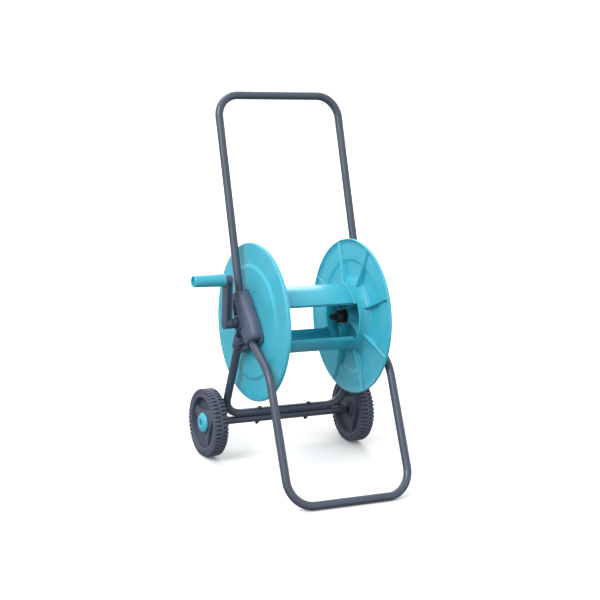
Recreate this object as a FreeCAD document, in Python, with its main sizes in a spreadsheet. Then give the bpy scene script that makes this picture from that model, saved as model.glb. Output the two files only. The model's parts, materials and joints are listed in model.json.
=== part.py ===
"""Garden hose reel cart: a bent-tube cart on two wheels with a crank-wound hose drum.

Millimetres, +Z up. The reel axis runs along X, the stand is at -Y and the wheels are at +Y.
The origin is on the floor, at the centre of the cart's footprint box. Inside the file, most
pieces are drawn around the reel axis at the frame's mid-plane and then placed by the cells
mid_x, mid_y and axis_z. "Lean" is an angle in the YZ plane, measured from +Z towards +Y.
"""
import FreeCAD, Part
import math
import os

import Sketcher
from FreeCAD import Placement, Rotation, Vector

SIZES = {
    # place of the reel axis in the cart's frame
    "mid_x": 31.5, "mid_y": 37.93, "axis_z": 324,
    # bent steel tube
    "tube_dia": 18, "tube_wall": 1.2, "tube_play": 0.1,
    # push handle
    "handle_half": 150, "handle_lean": 25.5, "handle_ahead": 6.1, "handle_reach": 507.2,
    "handle_start": 38, "handle_bend": 50,
    # front stand
    "stand_half": 147.5, "stand_top_lean": 65.6, "stand_below": 4.1, "stand_start": 33,
    "knee_out": 157.8, "knee_bend": 90, "stand_lean": 30.8, "stand_bend": 58,
    # rear frame and axle
    "rear_half": 150, "rear_lean": 13.2, "rear_ahead": 4.1, "rear_start": 36, "rear_bend": 40,
    "axle_half": 196, "bolt_x": 62.5, "bolt_dia": 5, "bolt_play": 0.2, "bolt_head": 3.4,
    "bolt_head_dia": 9.6, "bolt_tail": 7.6, "nut_thick": 4.2, "bolt_washer": 1,
    "bolt_washer_dia": 10.8,
    # wheels, their caps and retainers
    "wheel_dia": 152, "wheel_width": 32.5, "wheel_in": 169.2, "tyre_depth": 18, "hub_dia": 44,
    "web_half": 9.5, "membrane": 3, "pocket_side": 29, "pocket_arc": 129, "run_play": 0.06,
    "cap_dia": 45, "cap_out": 205, "cap_in": 196.6, "cap_recess": 13, "star_dia": 30,
    # drum flanges
    "flange_dia": 348, "flange_out": 127.5, "rim_depth": 8.7, "flange_wall": 3.2,
    "disc_dia": 244, "disc_rise": 4, "step_run": 3, "ring_dia": 140, "ring_cut": 1.2,
    "rib_count": 8, "rib_wall": 2.6, "collar_dia": 152, "collar_wall": 2, "collar_in": 101,
    "sleeve_in": 92, "boss_dia": 40, "boss_in": 106,
    # drum core
    "core_dia": 147.3, "core_wall": 3, "core_half_angle": 57, "core_end": 98, "lip_depth": 9,
    "tab_width": 13, "tab_wall": 3, "tab_angle": 25, "tab_play": 0.3, "reel_tilt": 7.2,
    # bearings
    "journal_dia": 18, "bush_dia": 24, "bush_flange_dia": 29, "bush_flange": 1, "washer_dia": 32,
    # crank and grip
    "crank_reach": 96, "arm_out": 193.5, "arm_in": 178, "arm_skin": 3, "arm_hub_dia": 24,
    "arm_tip_dia": 22, "arm_web": 9, "crank_hub_dia": 21, "drive_side": 12.4, "drive_play": 0.2,
    "grip_start": 194, "grip_end": 268, "grip_dia": 28.6, "grip_tip_dia": 25.8,
    "grip_recess_dia": 19, "grip_recess": 12, "pin_dia": 10, "pin_head_dia": 15,
    # water passage
    "water_dia": 9, "spindle_end": 181, "spindle_in": 88, "elbow_start": 168, "elbow_end": 196,
    "elbow_dia": 27, "branch_x": 185.5, "branch_dia": 20, "branch_reach": 34, "stem_dia": 16,
    "nut_dia": 28, "tail_end": 70,
    # side brackets
    "bracket_in": 137, "bracket_out": 163, "cover_in": 133.5, "column_lean": 42,
    "column_high": 64, "column_low": 56, "column_front": 46, "column_back": 14, "column_round": 20,
    "cavity_depth": 13, "cavity_wall": 4, "bearing_dia": 34, "socket_dia": 26,
    "socket_reach": 61, "leg_socket": 29,
    "handle_socket": 36, "stand_socket": 32, "bore_depth": 80, "sink_depth": 2,
    "web_in": 144, "web_wall": 4.5, "rib_out": 160, "rib_thick": 3,
    "screw_dia": 4, "screw_head_dia": 8, "screw_len": 23,
}

doc = FreeCAD.newDocument("HoseReelCart")
sheet = doc.addObject("Spreadsheet::Sheet", "Sheet")
for row, (alias, number) in enumerate(SIZES.items(), start=1):
    sheet.set("A%d" % row, alias)
    sheet.set("B%d" % row, str(number))
    sheet.setAlias("B%d" % row, alias)
doc.recompute()

NODES = {}

# Lengths worked out from the sheet, as expressions.
TUBE_R = "(Sheet.tube_dia / 2)"
BORE_R = "(Sheet.tube_dia / 2 + Sheet.tube_play)"
KNEE_Y = ("(Sheet.stand_below * cos(Sheet.stand_top_lean)"
          " - Sheet.knee_out * sin(Sheet.stand_top_lean))")
KNEE_Z = ("(-Sheet.stand_below * sin(Sheet.stand_top_lean)"
          " - Sheet.knee_out * cos(Sheet.stand_top_lean))")
STAND_LEG = "((Sheet.axis_z + " + KNEE_Z + " - Sheet.tube_dia / 2) / cos(Sheet.stand_lean))"
KNEE_TURN = "(Sheet.stand_top_lean - Sheet.stand_lean)"
KNEE_TANGENT = "(Sheet.knee_bend * tan(" + KNEE_TURN + " / 2))"
AXLE_DROP = ("((Sheet.axis_z - Sheet.wheel_dia / 2 - Sheet.rear_ahead * sin(Sheet.rear_lean))"
             " / cos(Sheet.rear_lean))")
CROSS_DROP = "(" + AXLE_DROP + " - Sheet.tube_dia)"
AXLE_Y = ("(" + AXLE_DROP + " * sin(Sheet.rear_lean)"
          " - Sheet.rear_ahead * cos(Sheet.rear_lean))")
DISC_OUT = "(Sheet.flange_out + Sheet.disc_rise)"
JOURNAL_R = "(Sheet.journal_dia / 2)"
RUN_R = "(Sheet.journal_dia / 2 + Sheet.run_play)"

BACKWARD = (-1, 0, 0)   # turning about -X leans a piece back, towards +Y
FORWARD = (1, 0, 0)


# ---------------------------------------------------------------- drawing helpers

def bind(obj, **cells):
    """Bind properties of obj to expressions over the sheet."""
    for prop, text in cells.items():
        obj.setExpression(prop, str(text))
    return obj


def place(obj, x="0", y="0", z="0", axis=None, angle=None):
    """Place obj by expressions, turned about a fixed axis by a positive angle."""
    if axis:
        obj.Placement = Placement(Vector(), Rotation(Vector(*axis), 1))
        obj.setExpression("Placement.Rotation.Angle", str(angle))
    for letter, text in zip("xyz", (x, y, z)):
        obj.setExpression("Placement.Base." + letter, str(text))
    return obj


def at_reel_axis(obj, axis=None, angle=None):
    return place(obj, "Sheet.mid_x", "Sheet.mid_y", "Sheet.axis_z", axis, angle)


def at_wheel_axis(obj):
    return place(obj, "Sheet.mid_x", "Sheet.mid_y + " + AXLE_Y, "Sheet.wheel_dia / 2")


def at_reel(obj, half_turn=False):
    return at_reel_axis(obj, BACKWARD, "Sheet.reel_tilt" + (" + 180" if half_turn else ""))


def new_body(label):
    body = doc.addObject("PartDesign::Body", label)
    body.Label = label
    return body


def keep(obj, label):
    """Keep an object as a node of the cart."""
    obj.Label = label
    NODES[label] = obj
    return obj


def new_sketch(body, plane, offset=None, turn=None):
    """A sketch on one of the body's origin planes, moved along its normal or turned about X."""
    sketch = body.newObject("Sketcher::SketchObject", body.Name + "_sketch")
    planes = [one for one in body.Origin.OriginFeatures if one.Role == plane]
    sketch.AttachmentSupport = [(planes[0], "")]
    sketch.MapMode = "FlatFace"
    if turn:
        sketch.AttachmentOffset = Placement(Vector(), Rotation(Vector(1, 0, 0), 1))
        sketch.setExpression("AttachmentOffset.Rotation.Angle", turn)
    if offset:
        sketch.setExpression("AttachmentOffset.Base.z", offset)
    return sketch


def hold(sketch, kind, *parts):
    """Add a dimension whose value is the expression given last."""
    start = float(sketch.evalExpression(str(parts[-1])))
    index = sketch.addConstraint(Sketcher.Constraint(kind, *parts[:-1], start))
    sketch.setExpression("Constraints[%d]" % index, str(parts[-1]))


def hold_point(sketch, curve, end, x, y):
    hold(sketch, "DistanceX", -1, 1, curve, end, x)
    hold(sketch, "DistanceY", -1, 1, curve, end, y)


def polygon(sketch, points):
    """A closed outline through points given as pairs of expressions."""
    count = len(points)
    first = sketch.GeometryCount
    step = 2 * math.pi / count
    spots = [Vector(math.cos(step * i), math.sin(step * i), 0) for i in range(count)]
    for i in range(count):
        sketch.addGeometry(Part.LineSegment(spots[i], spots[(i + 1) % count]))
    for i in range(count):
        nearby = first + (i + 1) % count
        sketch.addConstraint(Sketcher.Constraint("Coincident", first + i, 2, nearby, 1))
    for i, (x, y) in enumerate(points):
        hold_point(sketch, first + i, 1, x, y)
    return sketch


def circle(sketch, x, y, radius):
    index = sketch.addGeometry(Part.Circle(Vector(1, 1, 0), Vector(0, 0, 1), 1))
    hold_point(sketch, index, 3, x, y)
    hold(sketch, "Radius", index, radius)
    return sketch


def pad(body, sketch, length, midplane=False):
    feature = body.newObject("PartDesign::Pad", body.Name + "_pad")
    feature.Profile = sketch
    feature.Midplane = midplane
    return bind(feature, Length=length)


def revolve(body, sketch, axis="H_Axis", angle="360"):
    feature = body.newObject("PartDesign::Revolution", body.Name + "_turned")
    feature.Profile = sketch
    feature.ReferenceAxis = (sketch, [axis])
    return bind(feature, Angle=angle)


def polar(body, feature, count):
    """Repeat a feature about the body's X axis."""
    pattern = body.newObject("PartDesign::PolarPattern", body.Name + "_pattern")
    pattern.Originals = [feature]
    axes = [one for one in body.Origin.OriginFeatures if one.Role == "X_Axis"]
    pattern.Axis = (axes[0], [""])
    pattern.Angle = 360
    bind(pattern, Occurrences=count)
    body.Tip = pattern
    return pattern


def turned(label, points, side=1, about="X"):
    """A body turned about X or Z from (along the axis, radius) points; side -1 mirrors it."""
    body = new_body(label)
    if about == "X":
        sketch = new_sketch(body, "XY_Plane")
        outline = [("%d * (%s)" % (side, along), radius) for along, radius in points]
        revolve(body, polygon(sketch, outline), "H_Axis")
    else:
        sketch = new_sketch(body, "XZ_Plane")
        outline = [(radius, "%d * (%s)" % (side, along)) for along, radius in points]
        revolve(body, polygon(sketch, outline), "V_Axis")
    return body


def bar(body, kind, radius, start, length, y="0", z="0"):
    """Add or cut a cylinder along X, from start towards +X."""
    feature = body.newObject("PartDesign::%sCylinder" % kind, body.Name + "_bar")
    bind(feature, Radius=radius, Height=length)
    return place(feature, start, y, z, (0, 1, 0), "90")


def ring_sketch(body, plane, radius, wall, offset=None):
    sketch = new_sketch(body, plane, offset)
    circle(sketch, "0", "0", radius)
    return circle(sketch, "0", "0", "(%s) - (%s)" % (radius, wall))


def round_edges(body, radius, wanted):
    """Round the circular edges that lie at the wanted (distance along X, radius) pairs."""
    doc.recompute()
    base = body.Tip
    names = []
    for number, edge in enumerate(base.Shape.Edges, start=1):
        curve = edge.Curve
        if not isinstance(curve, Part.Circle):
            continue
        spot = (abs(curve.Center.x), curve.Radius)
        if any(math.dist(spot, pair) < 0.05 for pair in wanted):
            names.append("Edge%d" % number)
    feature = body.newObject("PartDesign::Fillet", body.Name + "_fillet")
    feature.Base = (base, names)
    return bind(feature, Radius=radius)


def compound(label, members):
    group = doc.addObject("Part::Compound", label)
    group.Links = members
    return keep(group, label)


def mirrored(label, source):
    """The same piece for the other side of the cart."""
    copy = doc.addObject("Part::Mirroring", label)
    copy.Source = source
    copy.Normal = Vector(1, 0, 0)
    copy.setExpression("Base.x", "Sheet.mid_x")
    return keep(copy, label)


def value(name):
    return float(sheet.get(name))


# ---------------------------------------------------------------- bent tubes

def u_path(sketch, half, low, top, bend):
    """A U: up the leg at -half, across at height top, down the leg at +half to height low."""
    geometry = sketch.addGeometry
    geometry(Part.LineSegment(Vector(-100, 0, 0), Vector(-100, 200, 0)))
    geometry(Part.ArcOfCircle(Part.Circle(Vector(-60, 200, 0), Vector(0, 0, 1), 40),
                              math.pi / 2, math.pi))
    geometry(Part.LineSegment(Vector(-60, 240, 0), Vector(60, 240, 0)))
    geometry(Part.ArcOfCircle(Part.Circle(Vector(60, 200, 0), Vector(0, 0, 1), 40),
                              0, math.pi / 2))
    geometry(Part.LineSegment(Vector(100, 200, 0), Vector(100, 0, 0)))
    sketch.addConstraint([
        Sketcher.Constraint("Vertical", 0), Sketcher.Constraint("Horizontal", 2),
        Sketcher.Constraint("Vertical", 4), Sketcher.Constraint("Tangent", 0, 2, 1, 2),
        Sketcher.Constraint("Tangent", 1, 1, 2, 1), Sketcher.Constraint("Tangent", 2, 2, 3, 2),
        Sketcher.Constraint("Tangent", 3, 1, 4, 1), Sketcher.Constraint("Equal", 1, 3)])
    hold_point(sketch, 0, 1, "-(%s)" % half, low)
    hold_point(sketch, 4, 2, half, low)
    hold(sketch, "DistanceY", -1, 1, 2, 1, top)
    hold(sketch, "Radius", 1, bend)
    return sketch


def u_tube(label, half, low, top, bend, ahead="0"):
    """A hollow tube bent into a U in the body's XZ plane, moved ahead of that plane."""
    body = new_body(label)
    path = u_path(new_sketch(body, "XZ_Plane", ahead), half, low, top, bend)
    end = new_sketch(body, "XY_Plane", low)
    for radius in (TUBE_R, TUBE_R + " - Sheet.tube_wall"):
        circle(end, "-(%s)" % half, "-(%s)" % ahead, radius)
    pipe = body.newObject("PartDesign::AdditivePipe", label + "_pipe")
    pipe.Profile = end
    pipe.Spine = (path, ["Edge%d" % number for number in range(1, 6)])
    pipe.Transition = "Transformed"
    return body


def screw_hole(body, y, z):
    """A hole for the bracket screws, across both legs of a tube."""
    bar(body, "Subtractive", "(Sheet.screw_dia + Sheet.bolt_play) / 2", "-Sheet.axle_half",
        "Sheet.axle_half * 2", y, z)


def handle_tube():
    body = u_tube("handle_tube", "Sheet.handle_half", "Sheet.handle_start",
                  "Sheet.handle_reach", "Sheet.handle_bend", "Sheet.handle_ahead")
    screw_hole(body, "-Sheet.handle_ahead", "Sheet.handle_start + 14")
    at_reel_axis(body, BACKWARD, "Sheet.handle_lean")
    keep(body, "handle_tube")


def stand_tube():
    """The lower U hangs from the knees; above them both legs bend back into the brackets."""
    body = new_body("stand_tube")
    low = "-" + KNEE_TANGENT
    path = new_sketch(body, "XZ_Plane", turn="180")
    u_path(path, "Sheet.stand_half", KNEE_TANGENT, STAND_LEG, "Sheet.stand_bend")
    legs = new_sketch(body, "XY_Plane", low)
    for side in ("-", ""):
        for radius in (TUBE_R, TUBE_R + " - Sheet.tube_wall"):
            circle(legs, side + "Sheet.stand_half", "0", radius)
    end = new_sketch(body, "XY_Plane", low)
    for radius in (TUBE_R, TUBE_R + " - Sheet.tube_wall"):
        circle(end, "-Sheet.stand_half", "0", radius)
    pipe = body.newObject("PartDesign::AdditivePipe", "stand_lower")
    pipe.Profile = end
    pipe.Spine = (path, ["Edge%d" % number for number in range(1, 6)])
    pipe.Transition = "Transformed"
    knees = body.newObject("PartDesign::Revolution", "stand_knees")
    centre = legs.addGeometry(Part.LineSegment(Vector(-50, 90, 0), Vector(50, 90, 0)), True)
    hold_point(legs, centre, 1, "-50", "Sheet.knee_bend")
    hold_point(legs, centre, 2, "50", "Sheet.knee_bend")
    knees.Profile = legs
    knees.ReferenceAxis = (legs, ["Axis0"])
    knees.Reversed = True
    bind(knees, Angle=KNEE_TURN)
    tops = new_sketch(body, "XY_Plane", turn="360 - " + KNEE_TURN)
    tops.setExpression("AttachmentOffset.Base.y", KNEE_TANGENT + " * sin(" + KNEE_TURN + ")")
    tops.setExpression("AttachmentOffset.Base.z", KNEE_TANGENT + " * cos(" + KNEE_TURN + ")")
    for side in ("-", ""):
        for radius in (TUBE_R, TUBE_R + " - Sheet.tube_wall"):
            circle(tops, side + "Sheet.stand_half", "0", radius)
    pad(body, tops, "Sheet.knee_out - Sheet.stand_start - " + KNEE_TANGENT)
    hole = "(Sheet.knee_out - Sheet.stand_start - 14)"
    screw_hole(body, hole + " * sin(" + KNEE_TURN + ")", hole + " * cos(" + KNEE_TURN + ")")
    place(body, "Sheet.mid_x", "Sheet.mid_y + " + KNEE_Y, "Sheet.axis_z + " + KNEE_Z,
          BACKWARD, "Sheet.stand_lean")
    keep(body, "stand_tube")


def bolt_holes(body, y, low, high):
    for side in ("-", ""):
        hole = body.newObject("PartDesign::SubtractiveCylinder", body.Name + "_bolt_hole")
        bind(hole, Radius="(Sheet.bolt_dia + Sheet.bolt_play) / 2", Height="(%s) - (%s)" % (high, low))
        place(hole, side + "Sheet.bolt_x", y, low)


def rear_frame_tube():
    """A U standing on its cross tube, which is bolted along the top of the axle tube."""
    body = new_body("rear_frame_tube")
    low = "Sheet.rear_start"
    path = new_sketch(body, "XZ_Plane", turn="180")
    path.setExpression("AttachmentOffset.Base.z", "Sheet.rear_ahead")
    u_path(path, "Sheet.rear_half", low, CROSS_DROP, "Sheet.rear_bend")
    end = new_sketch(body, "XY_Plane", "-" + low)
    for radius in (TUBE_R, TUBE_R + " - Sheet.tube_wall"):
        circle(end, "-Sheet.rear_half", "-Sheet.rear_ahead", radius)
    pipe = body.newObject("PartDesign::AdditivePipe", "rear_pipe")
    pipe.Profile = end
    pipe.Spine = (path, ["Edge%d" % number for number in range(1, 6)])
    pipe.Transition = "Transformed"
    screw_hole(body, "-Sheet.rear_ahead", "-" + low + " - 14")
    bolt_holes(body, "-Sheet.rear_ahead", "-" + CROSS_DROP + " - Sheet.tube_dia",
               "-" + CROSS_DROP + " + Sheet.tube_dia")
    at_reel_axis(body, FORWARD, "Sheet.rear_lean")
    keep(body, "rear_frame_tube")


def axle_tube():
    body = new_body("axle_tube")
    sketch = ring_sketch(body, "YZ_Plane", TUBE_R, "Sheet.tube_wall")
    pad(body, sketch, "Sheet.axle_half * 2", midplane=True)
    bolt_holes(body, "0", "-Sheet.tube_dia", "Sheet.tube_dia")
    place(body, "Sheet.mid_x", "Sheet.mid_y + " + AXLE_Y, "Sheet.wheel_dia / 2",
          FORWARD, "Sheet.rear_lean")
    keep(body, "axle_tube")


def axle_fasteners():
    """Two dome-head bolts through the cross tube and the axle tube, with washers and nuts."""
    top = "(Sheet.tube_dia / 2 - %s)" % CROSS_DROP
    bottom = "(-Sheet.tube_dia / 2 - %s)" % AXLE_DROP
    radius = "Sheet.bolt_dia / 2"
    seat = bottom + " - Sheet.bolt_washer"
    tip = bottom + " - Sheet.bolt_tail"
    groups = {
        "axle_bolts": [(top + " + Sheet.bolt_head", "0"), (top + " + Sheet.bolt_head - 0.8", "3.2"),
                       (top, "Sheet.bolt_head_dia / 2"), (top, radius),
                       (tip + " + 0.6", radius), (tip, radius + " - 0.6"), (tip, "0")],
        "axle_washers": [(seat, radius + " + 0.1"), (seat, "Sheet.bolt_washer_dia / 2"),
                         (bottom, "Sheet.bolt_washer_dia / 2"), (bottom, radius + " + 0.1")],
    }
    for label, points in groups.items():
        members = []
        for number, side in enumerate(("-", "")):
            piece = turned("%s_%d" % (label, number), points, about="Z")
            members.append(rear_place(piece, side))
        compound(label, members)
    nuts = []
    for number, side in enumerate(("-", "")):
        nut = new_body("axle_nut_%d" % number)
        sketch = new_sketch(nut, "XY_Plane", seat + " - Sheet.nut_thick")
        polygon(sketch, [("4.5 * cos(%d)" % turn, "4.5 * sin(%d)" % turn)
                         for turn in range(0, 360, 60)])
        circle(sketch, "0", "0", radius + " + 0.05")
        pad(nut, sketch, "Sheet.nut_thick")
        nuts.append(rear_place(nut, side))
    compound("axle_nuts", nuts)


def rear_place(piece, side):
    """Stand a piece drawn along Z on the rear frame's leaning centre plane."""
    return place(piece, "Sheet.mid_x + %sSheet.bolt_x" % side,
                 "Sheet.mid_y - Sheet.rear_ahead * cos(Sheet.rear_lean)",
                 "Sheet.axis_z - Sheet.rear_ahead * sin(Sheet.rear_lean)",
                 FORWARD, "Sheet.rear_lean")


# ---------------------------------------------------------------- wheels

def wheel(label, side):
    """A moulded wheel: tyre ring, thin membrane and a three-pointed web with lens pockets."""
    middle = "(Sheet.wheel_in + Sheet.wheel_width / 2)"
    low = "(%s - Sheet.web_half)" % middle
    high = "(%s + Sheet.web_half)" % middle
    outer = "(Sheet.wheel_in + Sheet.wheel_width)"
    tyre = "Sheet.wheel_dia / 2"
    inside = "(Sheet.wheel_dia / 2 - Sheet.tyre_depth)"
    body = turned(label, [
        ("Sheet.wheel_in", "Sheet.tube_dia / 2 + Sheet.run_play"),
        ("Sheet.wheel_in", "Sheet.hub_dia / 2 - 6"), (low, "Sheet.hub_dia / 2 - 5"),
        (low, inside), ("Sheet.wheel_in", inside + " + 2"), ("Sheet.wheel_in", tyre + " - 3"),
        ("Sheet.wheel_in + 3", tyre), (outer + " - 3", tyre), (outer, tyre + " - 3"),
        (outer, inside + " + 2"), (high, inside), (high, "Sheet.tube_dia / 2 + Sheet.run_play"),
    ], side)
    floor = "(%s %s Sheet.membrane / 2)"
    depth = "(Sheet.web_half - Sheet.membrane / 2)"
    for face, start in ((1, floor % (middle, "+")), (-1, low)):
        sketch = new_sketch(body, "YZ_Plane", "%d * %s" % (side, start))
        lens_outline(sketch, inside + " - 1.5")
        pocket = body.newObject("PartDesign::Pocket", label + "_pocket")
        pocket.Profile = sketch
        pocket.Reversed = side > 0
        bind(pocket, Length=depth + " + 0.02")
        polar(body, pocket, "3")
    at_wheel_axis(body)
    keep(body, label)


def lens_outline(sketch, radius):
    """The space between the tyre's inside circle and a flatter arc that bulges to the hub."""
    reach = value("wheel_dia") / 2 - value("tyre_depth") - 1.5
    side, arc = value("pocket_side"), value("pocket_arc")
    centre = side + arc
    height = (centre ** 2 + reach ** 2 - arc ** 2) / (2 * centre)
    width = math.sqrt(reach ** 2 - height ** 2)
    spread = math.atan2(height, width)
    sketch.addGeometry(Part.ArcOfCircle(Part.Circle(Vector(), Vector(0, 0, 1), reach),
                                        spread, math.pi - spread))
    lean = math.atan2(centre - height, width)
    sketch.addGeometry(Part.ArcOfCircle(
        Part.Circle(Vector(0, centre, 0), Vector(0, 0, 1), arc), math.pi + lean, -lean))
    add = sketch.addConstraint
    add(Sketcher.Constraint("Coincident", 0, 3, -1, 1))
    add(Sketcher.Constraint("PointOnObject", 1, 3, -2))
    add(Sketcher.Constraint("Coincident", 0, 2, 1, 1))
    add(Sketcher.Constraint("Coincident", 0, 1, 1, 2))
    hold(sketch, "Radius", 0, radius)
    hold(sketch, "Radius", 1, "Sheet.pocket_arc")
    hold(sketch, "DistanceY", -1, 1, 1, 3, "Sheet.pocket_side + Sheet.pocket_arc")


def wheel_hardware():
    """Plugs pressed into the axle's ends, caps screwed to them, and star washers inside."""
    screws = []
    for label, side in (("left", -1), ("right", 1)):
        inner = "Sheet.tube_dia / 2 - Sheet.tube_wall"
        plug = turned("axle_plug_" + label, [
            ("Sheet.axle_half - 22", "1.9"), ("Sheet.axle_half - 22", inner + " - 0.6"),
            ("Sheet.axle_half - 20", inner), ("Sheet.axle_half", inner),
            ("Sheet.axle_half", "1.9")], side)
        keep(at_wheel_axis(plug), "axle_plug_" + label)
        cap = turned("hub_cap_" + label, [
            ("Sheet.cap_in", "2.2"), ("Sheet.cap_in", "Sheet.cap_dia / 2"),
            ("Sheet.cap_in + 3", "Sheet.cap_dia / 2"),
            ("Sheet.cap_out - 1.6", "Sheet.cap_dia / 2 - 4"),
            ("Sheet.cap_out", "Sheet.cap_dia / 2 - 10"),
            ("Sheet.cap_out", "Sheet.cap_recess / 2"),
            ("Sheet.cap_in + 3", "Sheet.cap_recess / 2"), ("Sheet.cap_in + 3", "2.2")], side)
        keep(at_wheel_axis(cap), "hub_cap_" + label)
        screw = turned("cap_screw_" + label, [
            ("Sheet.axle_half - 16", "0.01"), ("Sheet.axle_half - 16", "1.2"),
            ("Sheet.axle_half - 14", "1.85"), ("Sheet.cap_in + 3.05", "1.85"),
            ("Sheet.cap_in + 3.05", "4.4"), ("Sheet.cap_in + 4.8", "3.8"),
            ("Sheet.cap_in + 5.4", "2.2"), ("Sheet.cap_in + 5.4", "0.01")], side)
        screws.append(at_wheel_axis(screw))
    compound("hub_cap_screws", screws)
    stars = []
    for label, side in (("left", -1), ("right", 1)):
        star = turned("star_washer_" + label, [
            ("Sheet.wheel_in - 2.6", "Sheet.tube_dia / 2 + 0.02"),
            ("Sheet.wheel_in - 1.4", "Sheet.star_dia / 2"),
            ("Sheet.wheel_in - 0.5", "Sheet.star_dia / 2"),
            ("Sheet.wheel_in - 1.4", "Sheet.tube_dia / 2 + 0.02")], side)
        stars.append(at_wheel_axis(star))
    compound("wheel_star_washers", stars)


# ---------------------------------------------------------------- drum

def flange(label, side, bore):
    """A dished flange: rolled rim, raised middle disc, core collar, ribs and hub boss."""
    rim = "Sheet.flange_dia / 2"
    edge = "(Sheet.flange_out - Sheet.rim_depth)"
    wall = "(Sheet.flange_out - Sheet.flange_wall)"
    disc_in = "(%s - Sheet.flange_wall)" % DISC_OUT
    disc = "Sheet.disc_dia / 2"
    collar = "Sheet.collar_dia / 2"
    ring = "Sheet.ring_dia / 2"
    body = turned(label, [
        (DISC_OUT, bore), (DISC_OUT, ring + " - Sheet.ring_cut"), (DISC_OUT + " - 0.8", ring),
        (DISC_OUT, ring + " + Sheet.ring_cut"), (DISC_OUT, disc),
        ("Sheet.flange_out - 0.6", disc + " + Sheet.step_run"), ("Sheet.flange_out", rim),
        (edge, rim), (edge, rim + " - 2.6"), (wall, rim + " - 3.4"),
        (wall + " - 0.6", disc + " + Sheet.step_run + 1"), (disc_in, disc + " + 1"),
        (disc_in, collar + " + 6"), (disc_in + " - 6", collar), ("Sheet.collar_in", collar),
        ("Sheet.collar_in", collar + " - Sheet.collar_wall"),
        (disc_in, collar + " - Sheet.collar_wall"), (disc_in, "Sheet.boss_dia / 2"),
        ("Sheet.boss_in", "Sheet.boss_dia / 2"), ("Sheet.boss_in", bore)], side)
    flange_ribs(body, side, edge, disc_in)
    sleeve_arcs(body, side)
    tab_slots(body, side)
    out, rise = value("flange_out"), value("disc_rise")
    top, middle = value("flange_dia") / 2, value("disc_dia") / 2
    round_edges(body, "3.4", [(out, top)])
    round_edges(body, "1.8", [(out + rise, middle), (out - 0.6, middle + value("step_run"))])
    at_reel(body)
    return body


def flange_ribs(body, side, edge, disc_in):
    """Eight ribs on the inner face, and four inside the collar that hold the boss."""
    collar = "Sheet.collar_dia / 2"
    boss = "Sheet.boss_dia / 2"
    rim = "Sheet.flange_dia / 2"
    outer = [("%s + 0.8" % edge, rim + " - 2"), ("Sheet.flange_out - 1", rim + " - 2"),
             ("Sheet.flange_out - 1", "Sheet.disc_dia / 2 + 3"),
             (disc_in + " + 1", "Sheet.disc_dia / 2 - 2"), (disc_in + " + 1", collar + " - 1"),
             (disc_in + " - 15", collar + " - 1")]
    inner = [("Sheet.boss_in + 3", boss + " - 1"), (disc_in + " + 1", boss + " - 1"),
             (disc_in + " + 1", collar + " - 1"), ("Sheet.collar_in + 3", collar + " - 1")]
    for outline, count in ((outer, "Sheet.rib_count"), (inner, "Sheet.rib_count / 2")):
        sketch = new_sketch(body, "XZ_Plane", turn="180 / Sheet.rib_count")
        polygon(sketch, [("%d * (%s)" % (side, x), y) for x, y in outline])
        rib = pad(body, sketch, "Sheet.rib_wall", midplane=True)
        polar(body, rib, count)


def sector(sketch, inner, outer, half_angle):
    """A ring sector, symmetric about the sketch's vertical axis."""
    spread = math.radians(value("core_half_angle"))
    for radius in (80.0, 70.0):
        sketch.addGeometry(Part.ArcOfCircle(
            Part.Circle(Vector(), Vector(0, 0, 1), radius),
            math.pi / 2 - spread, math.pi / 2 + spread))
    for turn in (-spread, spread):
        ray = Vector(math.sin(-turn), math.cos(turn), 0)
        sketch.addGeometry(Part.LineSegment(ray * 70, ray * 80))
    add = sketch.addConstraint
    for arc in (0, 1):
        add(Sketcher.Constraint("Coincident", arc, 3, -1, 1))
        add(Sketcher.Constraint("Symmetric", arc, 1, arc, 2, -2))
    for arc, end, line, spot in ((0, 1, 2, 2), (1, 1, 2, 1), (0, 2, 3, 2), (1, 2, 3, 1)):
        add(Sketcher.Constraint("Coincident", arc, end, line, spot))
    hold(sketch, "Radius", 0, outer)
    hold(sketch, "Radius", 1, inner)
    hold(sketch, "DistanceX", -1, 1, 0, 1, "(%s) * sin(%s)" % (outer, half_angle))
    hold(sketch, "DistanceX", -1, 1, 1, 1, "(%s) * sin(%s)" % (inner, half_angle))
    return sketch


def sleeve_arcs(body, side):
    """Two arcs carry the collar on over the ends of the core panels."""
    start = "Sheet.sleeve_in" if side > 0 else "-Sheet.collar_in"
    sketch = new_sketch(body, "YZ_Plane", start)
    collar = "Sheet.collar_dia / 2"
    sector(sketch, collar + " - Sheet.collar_wall", collar, "Sheet.core_half_angle + 1")
    polar(body, pad(body, sketch, "Sheet.collar_in - Sheet.sleeve_in"), "2")


def tab_outline(sketch, play):
    """Two tab sections beside the top of the drum core, grown by the play."""
    middle = "(Sheet.core_dia / 2 - Sheet.core_wall / 2 - 0.5)"
    wide = "(Sheet.tab_width / 2 + %s)" % play
    deep = "(Sheet.tab_wall / 2 + %s)" % play
    for turn in ("Sheet.tab_angle", "-Sheet.tab_angle"):
        corners = []
        for across, up in (("-", "-"), ("", "-"), ("", ""), ("-", "")):
            reach = "(%s + %s%s)" % (middle, up, deep)
            corners.append((
                "%s * sin(%s) + %s%s * cos(%s)" % (reach, turn, across, wide, turn),
                "%s * cos(%s) - %s%s * sin(%s)" % (reach, turn, across, wide, turn)))
        polygon(sketch, corners)
    return sketch


def tab_slots(body, side):
    start = "Sheet.collar_in" if side > 0 else "-" + DISC_OUT + " - 1"
    sketch = tab_outline(new_sketch(body, "YZ_Plane", start), "Sheet.tab_play")
    slots = body.newObject("PartDesign::Pocket", body.Name + "_slots")
    slots.Profile = sketch
    slots.Reversed = True
    bind(slots, Length=DISC_OUT + " + 1 - Sheet.collar_in")
    polar(body, slots, "2")


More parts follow.
